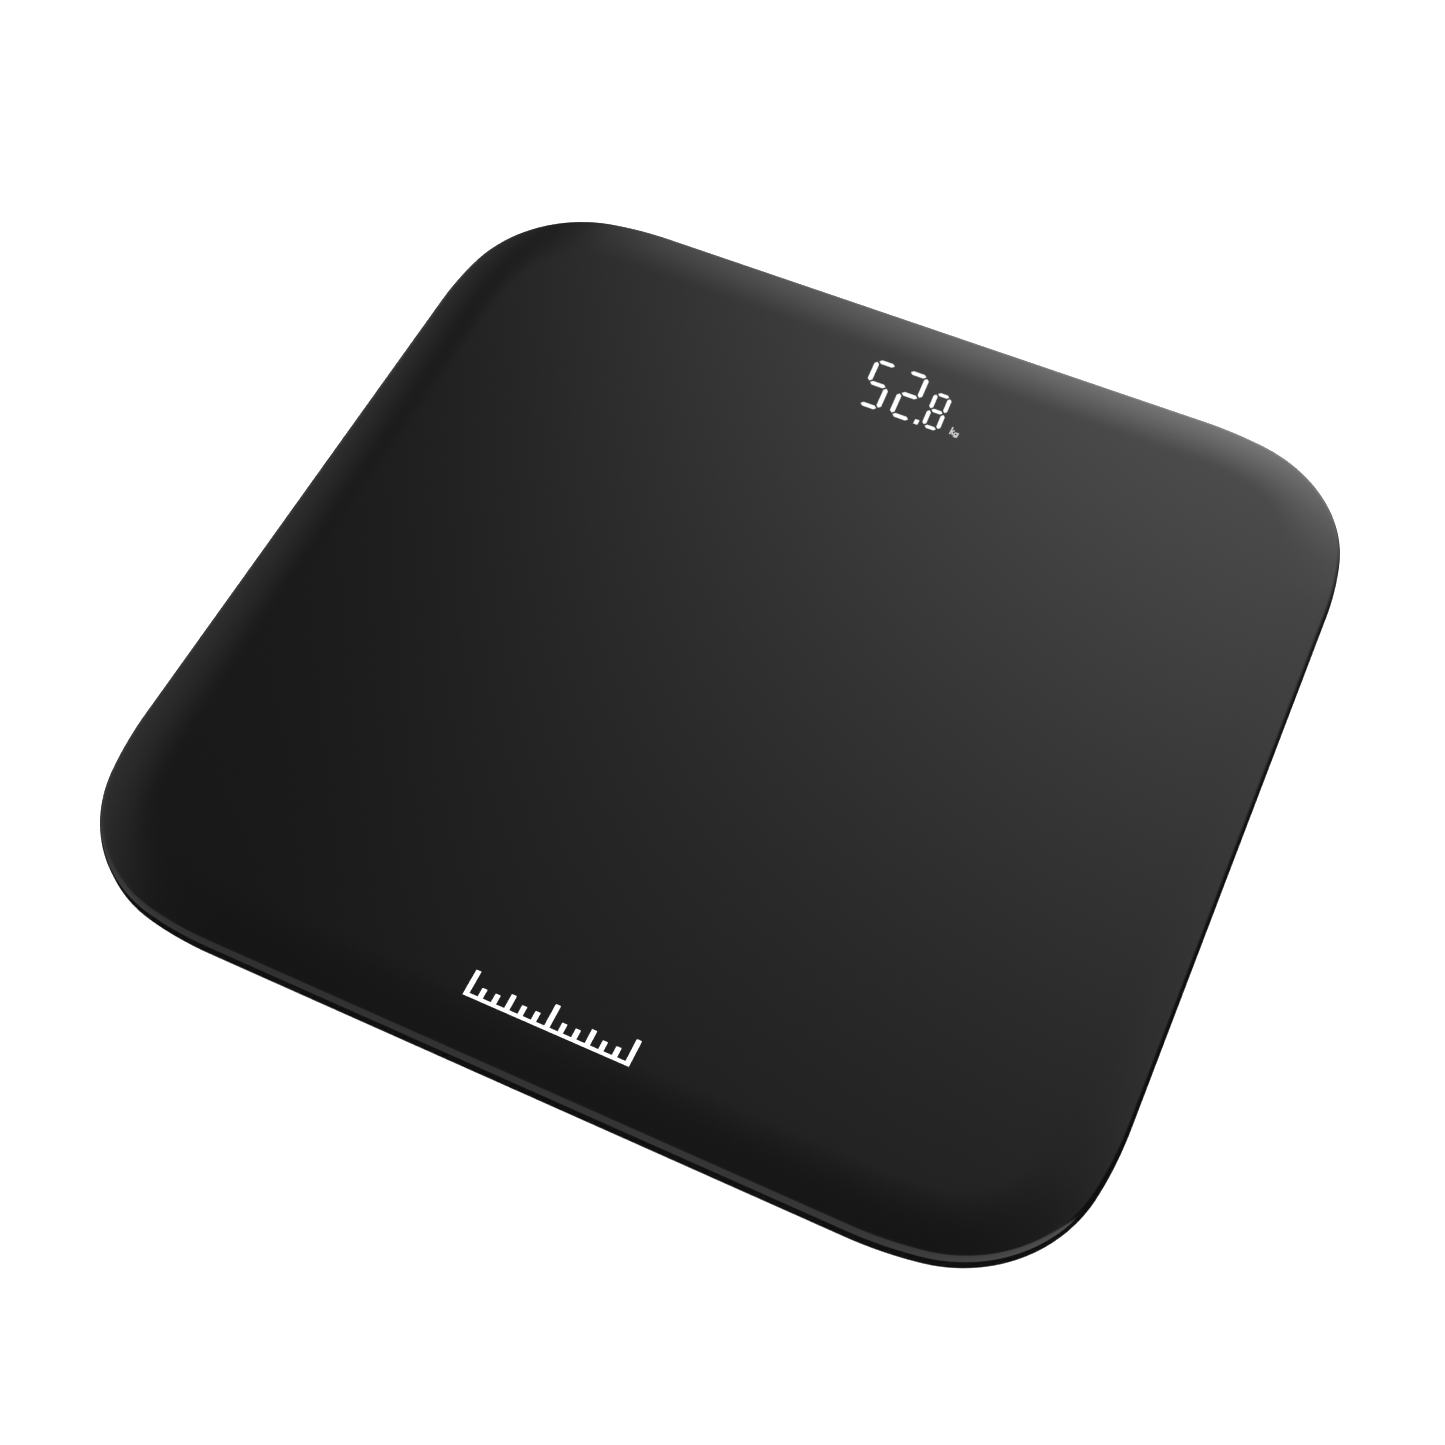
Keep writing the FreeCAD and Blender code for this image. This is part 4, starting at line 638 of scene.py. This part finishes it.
def make_springs(material):
    """At each cell's flat end: a small plate on the bay's wall and a conical spring pressing on the cell."""
    shapes = []
    corner = 1.2 * MM
    half = CONTACT_SIZE / 2
    turn = np.linspace(0, 2 * math.pi, 48, endpoint=False)
    spread = np.stack([np.cos(turn), np.sin(turn)], axis=1)
    outline = np.sign(spread) * (half - corner) + corner * spread
    for place in (-1, 0, 1):
        facing = 1 if place else -1
        wall = -facing * BAY_HALF
        y = BAY_Y + place * CELL_PITCH
        rows = []
        for depth, inset in ((CONTACT_PLATE, 0.1 * MM), (CONTACT_PLATE - 0.1 * MM, 0), (0, 0)):
            shrink = outline * (1 - inset / half)
            x = np.full(len(turn), wall + facing * depth)
            rows.append(np.column_stack([x, y + shrink[:, 0], CELL_AXIS + facing * shrink[:, 1]]))
        front = (wall + facing * CONTACT_PLATE, y, CELL_AXIS)
        back = (wall, y, CELL_AXIS)
        shapes.append(closed_rows(np.array(rows), front, back))
        room = 2 * BAY_HALF - 2 * CONTACT_PLATE - CELL_LENGTH
        shapes.append(coil(front, (facing, 0, 0), room, 3.3 * MM, 1.9 * MM, 3.5, 0.33 * MM))
    points, faces = gathered(shapes)
    springs = crisp(new_piece("cell_springs", points, faces, material, "platform"), 40)
    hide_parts("battery_spring_contacts")


# ======================================================================================= finishes
def cover_finish():
    """Satin-gloss black moulded plastic: a clear reflection, a trace of orange peel, faint handling marks."""
    finish = Finish("black_satin_plastic", Base_Color=grey(0.0026), IOR=1.5)
    marks = finish.noise(finish.stretched(finish.where, 1.0, 2.4, 1.0), 9.0, 5.0, 0.62)
    fine = finish.noise(finish.where, 420.0, 2.0)
    finish.drive("Roughness", 0.08 + 0.05 * marks + 0.02 * fine)
    finish.bump(fine, 0.0000015)
    return finish.material


def moulded(name, colour, roughness, grain_size, depth, wear=0.04):
    """Moulded plastic with an eroded grain, a slightly uneven sheen and paler high spots."""
    finish = Finish(name, IOR=1.48)
    pits = finish.noise(finish.where, 1.0 / grain_size, 4.0, 0.6)
    broad = finish.noise(finish.where, 24.0, 4.0, 0.6)
    pale = tuple(min(1.0, level * 1.14 + 0.0015) for level in colour[:3]) + (1.0,)
    finish.drive("Base Color", finish.mix((pits * broad).ramp(0.16, 0.5), colour, pale))
    finish.drive("Roughness", roughness - wear + 2 * wear * broad + 0.06 * pits)
    finish.bump(pits, depth)
    return finish.material


def rubber_finish():
    """Matt black rubber: a fine bloom, dust in the low places and small scuffs."""
    finish = Finish("black_rubber", IOR=1.5, Specular_IOR_Level=0.35)
    grain = finish.noise(finish.where, 1600.0, 3.0)
    bloom = finish.noise(finish.where, 160.0, 4.0, 0.65)
    finish.drive("Base Color", finish.mix(bloom.ramp(0.45, 0.8), grey(0.016), tone(0.026, 0.0255, 0.0245)))
    finish.drive("Roughness", 0.68 + 0.18 * bloom)
    finish.bump(grain, 0.00004)
    return finish.material


def metal(name, colour, roughness, stretch=(1.0, 1.0, 1.0), scratch=900.0, depth=0.000004):
    """Plated metal: fine drawn lines along one direction, cloudy patches, darker in the cloud."""
    finish = Finish(name, Metallic=1.0)
    lines = finish.noise(finish.stretched(finish.where, *stretch), scratch, 3.0)
    cloud = finish.noise(finish.where, 110.0, 4.0, 0.6)
    dull = tuple(level * 0.72 for level in colour[:3]) + (1.0,)
    finish.drive("Base Color", finish.mix(cloud.ramp(0.4, 0.75), colour, dull))
    finish.drive("Roughness", roughness + 0.14 * cloud + 0.1 * lines)
    finish.bump(lines, depth)
    return finish.material


def sleeve_finish():
    """A battery's printed sleeve: dark body, a coloured band by the nub end, a thin pale line between."""
    finish = Finish("cell_sleeve_print", IOR=1.5, Coat_Weight=0.4, Coat_Roughness=0.12)
    x, y, z = finish.split(finish.where)
    row = (y - BAY_Y).math("ABSOLUTE", y - BAY_Y)
    outer = row.ramp(0.45 * CELL_PITCH, 0.55 * CELL_PITCH)
    along = x * (2 * outer - 1.0)
    band = along.ramp(8.0 * MM, 8.05 * MM)
    line = along.ramp(7.0 * MM, 7.05 * MM) * (1.0 - band)
    body = finish.mix(band, tone(0.012, 0.02, 0.045), tone(0.62, 0.3, 0.07))
    finish.drive("Base Color", finish.mix(line, body, grey(0.7)))
    scuff = finish.noise(finish.stretched(finish.where, 0.4, 1.0, 1.0), 700.0, 4.0, 0.65)
    finish.drive("Roughness", 0.24 + 0.16 * scuff)
    finish.drive("Metallic", band * 0.7)
    finish.bump(scuff, 0.000004)
    return finish.material


def board_finish():
    """Solder mask over copper: a maze of slightly raised tracks in a lighter green."""
    finish = Finish("board_mask", IOR=1.5, Coat_Weight=0.3, Coat_Roughness=0.2)
    grid = finish.node(
        "ShaderNodeTexBrick",
        {"offset": 0.5, "offset_frequency": 2, "squash": 0.6, "squash_frequency": 3},
        {"Vector": finish.where, "Scale": 160.0, "Mortar Size": 0.012,
         "Color1": grey(0.0), "Color2": grey(0.0), "Mortar": grey(1.0)},
    )
    weave = finish.noise(finish.where, 500.0, 3.0)
    finish.drive("Base Color", finish.mix(grid, tone(0.006, 0.05, 0.022), tone(0.015, 0.11, 0.05)))
    finish.drive("Roughness", 0.34 + 0.14 * weave)
    finish.bump(grid, 0.00003)
    return finish.material


def light_finish(name, strength, colour=(0.93, 0.97, 1.0, 1.0)):
    """Light that has come through a thin dark skin: even, with a trace of the diffuser's grain."""
    finish = Finish(name, Roughness=0.2, Emission_Strength=strength)
    finish.shader.inputs["Base Color"].default_value = grey(0.02)
    grain = finish.noise(finish.where, 900.0, 3.0)
    finish.drive("Emission Color", finish.mix(grain.ramp(0.2, 0.8), grey(0.88), colour))
    return finish.material


def ink_finish():
    """White screen print: a thin raised film, a little uneven, with pinholes at its edges."""
    finish = Finish("white_print", IOR=1.48)
    film = finish.noise(finish.where, 1500.0, 4.0, 0.6)
    cloud = finish.noise(finish.where, 120.0, 3.0)
    finish.drive("Base Color", finish.mix(film.ramp(0.2, 0.45), grey(0.62), grey(0.8)))
    finish.drive("Roughness", 0.36 + 0.18 * cloud)
    finish.bump(film, 0.000006)
    return finish.material


def make_finishes():
    """The finish of every slot."""
    return {
        "cover_plastic": cover_finish(),
        "cover_print": ink_finish(),
        "base_plastic": moulded("black_eroded_plastic", tone(0.011, 0.011, 0.0115), 0.46, 0.0007, 0.00006),
        "foot_plastic": moulded("black_smooth_plastic", tone(0.014, 0.014, 0.0145), 0.34, 0.0016, 0.00001),
        "button_plastic": moulded("grey_smooth_plastic", tone(0.06, 0.062, 0.066), 0.36, 0.0012, 0.00001),
        "foot_rubber": rubber_finish(),
        "plated_steel": metal("nickel_plate", tone(0.62, 0.61, 0.58), 0.24, (0.15, 1.0, 1.0)),
        "screw_steel": metal("screw_zinc", tone(0.5, 0.51, 0.53), 0.22, scratch=1600.0),
        "contact_metal": metal("contact_nickel", tone(0.7, 0.69, 0.66), 0.16, (1.0, 0.2, 1.0)),
        "can_steel": metal("cell_steel", tone(0.66, 0.66, 0.66), 0.2, (0.2, 1.0, 1.0)),
        "solder": metal("tin_solder", tone(0.72, 0.72, 0.74), 0.2, scratch=2600.0, depth=0.00002),
        "battery_can": sleeve_finish(),
        "circuit_board": board_finish(),
        "white_sealant": moulded("white_sealant", tone(0.8, 0.8, 0.77), 0.4, 0.0025, 0.00006),
        "chip_plastic": moulded("black_chip", tone(0.018, 0.018, 0.019), 0.52, 0.0003, 0.00001),
        "chip_ceramic": moulded("brown_ceramic", tone(0.3, 0.2, 0.12), 0.4, 0.0003, 0.00001),
        "led_chip": moulded("pale_led", tone(0.85, 0.78, 0.4), 0.3, 0.0003, 0.00001),
        "reflector_plastic": moulded("white_reflector", tone(0.82, 0.82, 0.8), 0.4, 0.001, 0.00001),
        "black_foam": moulded("black_foam", tone(0.012, 0.012, 0.012), 0.9, 0.0006, 0.0003),
        "diffuser_film": moulded("milky_film", tone(0.7, 0.7, 0.7), 0.5, 0.0004, 0.00001),
        "lit_light": light_finish("readout_glow", 1.0),
        "lit_unit": light_finish("unit_glow", 0.62),
        "unlit_light": moulded("dark_light_plug", tone(0.25, 0.25, 0.25), 0.4, 0.001, 0.00001),
        "lead_jacket": moulded("lead_jacket", tone(0.02, 0.02, 0.022), 0.42, 0.0008, 0.00001),
    }


# ======================================================================================= studio
# Each softbox is placed by the parts of a unit direction: x to the right, y to the back, z up.
REAR_LEVEL = 3.1                         # the main softbox, low behind the platform
REAR_TOP, REAR_TOP_FADE = 1.05, 0.6      # it fades upward and is gone at this height
REAR_LEFT, REAR_LEFT_FADE = -0.5, 0.5
REAR_RIGHT, REAR_RIGHT_FADE = 0.9, 0.95
REAR_START, REAR_FADE = -0.3, 0.2        # it reaches a little past the point overhead
SIDE_LEVEL = 0.5                         # the fill on the left
SIDE_START, SIDE_FADE = 0.35, 0.4
FRONT_LEVEL = 0.9                        # the front softbox begins a little before the point overhead
FRONT_START, FRONT_FADE = 0.05, 0.1
FRONT_SIDE = 0.8                         # how much brighter it is to the right
HORIZON_DARK, HORIZON_LIT = -0.22, -0.1  # the room darkens between these heights
FLOOR_LEVEL = 0.008
FLOOR_GLOW = 0.45                        # the floor's own light, which thins the shadow
FLOOR_HALF = 12.0


def make_room():
    """Three softboxes far away: light = rear(x, y, z) + side(x) + front(x, y), each fading at its borders."""
    world = bpy.data.worlds.new("studio_room")
    bpy.context.scene.world = world
    world.use_nodes = True
    room = Tree(world.node_tree)
    background = world.node_tree.nodes["Background"]
    x, y, z = room.split(room.node("ShaderNodeTexCoord", out="Generated"))
    behind = y.ramp(REAR_START, REAR_START + REAR_FADE)
    rear = REAR_LEVEL * behind * (REAR_TOP - z).ramp(0.0, REAR_TOP_FADE)
    rear = rear * (x - REAR_LEFT).ramp(0.0, REAR_LEFT_FADE) * (REAR_RIGHT - x).ramp(0.0, REAR_RIGHT_FADE)
    side = SIDE_LEVEL * (-1.0 * x).ramp(SIDE_START, SIDE_START + SIDE_FADE)
    front = (-1.0 * y).ramp(FRONT_START, FRONT_START + FRONT_FADE) * (FRONT_LEVEL + FRONT_SIDE * x)
    light = rear + side + front
    above = z.ramp(HORIZON_DARK, HORIZON_LIT)
    light = above * light + (1.0 - above) * FLOOR_LEVEL
    seen = room.node("ShaderNodeLightPath", out="Is Camera Ray")
    room.tree.links.new((light * (1.0 - seen) + seen).socket, background.inputs["Strength"])
    background.inputs["Color"].default_value = grey(1.0)


def make_lamp(name, energy, spread, tilt):
    """A broad sun that lights matt surfaces only. A tilt of (0, 0) shines straight down."""
    sun = bpy.data.lights.new(name, "SUN")
    sun.energy = energy
    sun.angle = math.radians(spread)
    lamp = bpy.data.objects.new(name, sun)
    lamp.rotation_euler = (math.radians(tilt[0]), math.radians(tilt[1]), 0)
    lamp.visible_glossy = False
    bpy.context.scene.collection.objects.link(lamp)


def make_floor():
    """A pale floor, seen only from above; light from below passes it. Its own faint glow thins the shadow."""
    corners = [(x * FLOOR_HALF, y * FLOOR_HALF, 0) for x, y in ((-1, -1), (1, -1), (1, 1), (-1, 1))]
    mesh = bpy.data.meshes.new("floor")
    mesh.from_pydata(corners, [], [(0, 1, 2, 3)])
    floor = bpy.data.objects.new("floor", mesh)
    bpy.context.scene.collection.objects.link(floor)
    finish = Finish("pale_floor", Roughness=0.9, Specular_IOR_Level=0.0, Emission_Strength=FLOOR_GLOW)
    speckle = finish.noise(finish.where, 300.0, 3.0)
    finish.drive("Base Color", finish.mix(speckle, grey(0.89), grey(0.91)))
    clear = finish.tree.nodes.new("ShaderNodeBsdfTransparent")
    pick = finish.tree.nodes.new("ShaderNodeMixShader")
    behind = finish.node("ShaderNodeNewGeometry", out="Backfacing")
    shadow = finish.node("ShaderNodeLightPath", out="Is Shadow Ray")
    links = finish.tree.links
    links.new(behind.math("MAXIMUM", behind, shadow).socket, pick.inputs[0])
    links.new(finish.shader.outputs[0], pick.inputs[1])
    links.new(clear.outputs[0], pick.inputs[2])
    links.new(pick.outputs[0], finish.tree.nodes["Material Output"].inputs["Surface"])
    mesh.materials.append(finish.material)
    floor.visible_glossy = False


def make_camera():
    """Looks at AIM from DISTANCE away at AZIMUTH, ELEVATION, turned by ROLL about its own line of sight."""
    a, e = math.radians(AZIMUTH), math.radians(ELEVATION)
    back = Vector((math.sin(a) * math.cos(e), -math.cos(a) * math.cos(e), math.sin(e)))
    data = bpy.data.cameras.new("camera")
    data.lens = LENS
    data.sensor_width = SENSOR
    data.clip_start = 0.01
    camera = bpy.data.objects.new("camera", data)
    bpy.context.scene.collection.objects.link(camera)
    level = (-back).to_track_quat("-Z", "Y").to_matrix()
    camera.rotation_euler = (level @ Matrix.Rotation(math.radians(ROLL), 3, "Z")).to_euler()
    camera.location = AIM + back * DISTANCE
    bpy.context.scene.camera = camera


# ======================================================================================= the object
finishes = make_finishes()
for subpart in frame["record"]["subparts"]:
    mesh = frame["nodes"][subpart["node"]].data
    for index in range(len(mesh.materials)):
        mesh.materials[index] = finishes[subpart["material_slot"]]

make_cover(finishes["cover_plastic"])
make_cover_ribs(finishes["cover_plastic"])
make_readout(finishes["lit_light"])
make_unit_sign(finishes["lit_unit"])
make_tick_row(finishes["cover_print"])
make_feet(finishes["foot_rubber"], finishes["foot_plastic"])
make_cells(finishes["battery_can"], finishes["can_steel"])
make_springs(finishes["contact_metal"])

make_camera()
make_floor()
make_room()
make_lamp("ceiling_wash", 4.0, 100, (6, -5))
make_lamp("under_wash", 12.0, 30, (180, 0))
bpy.context.scene.view_settings.view_transform = "Standard"
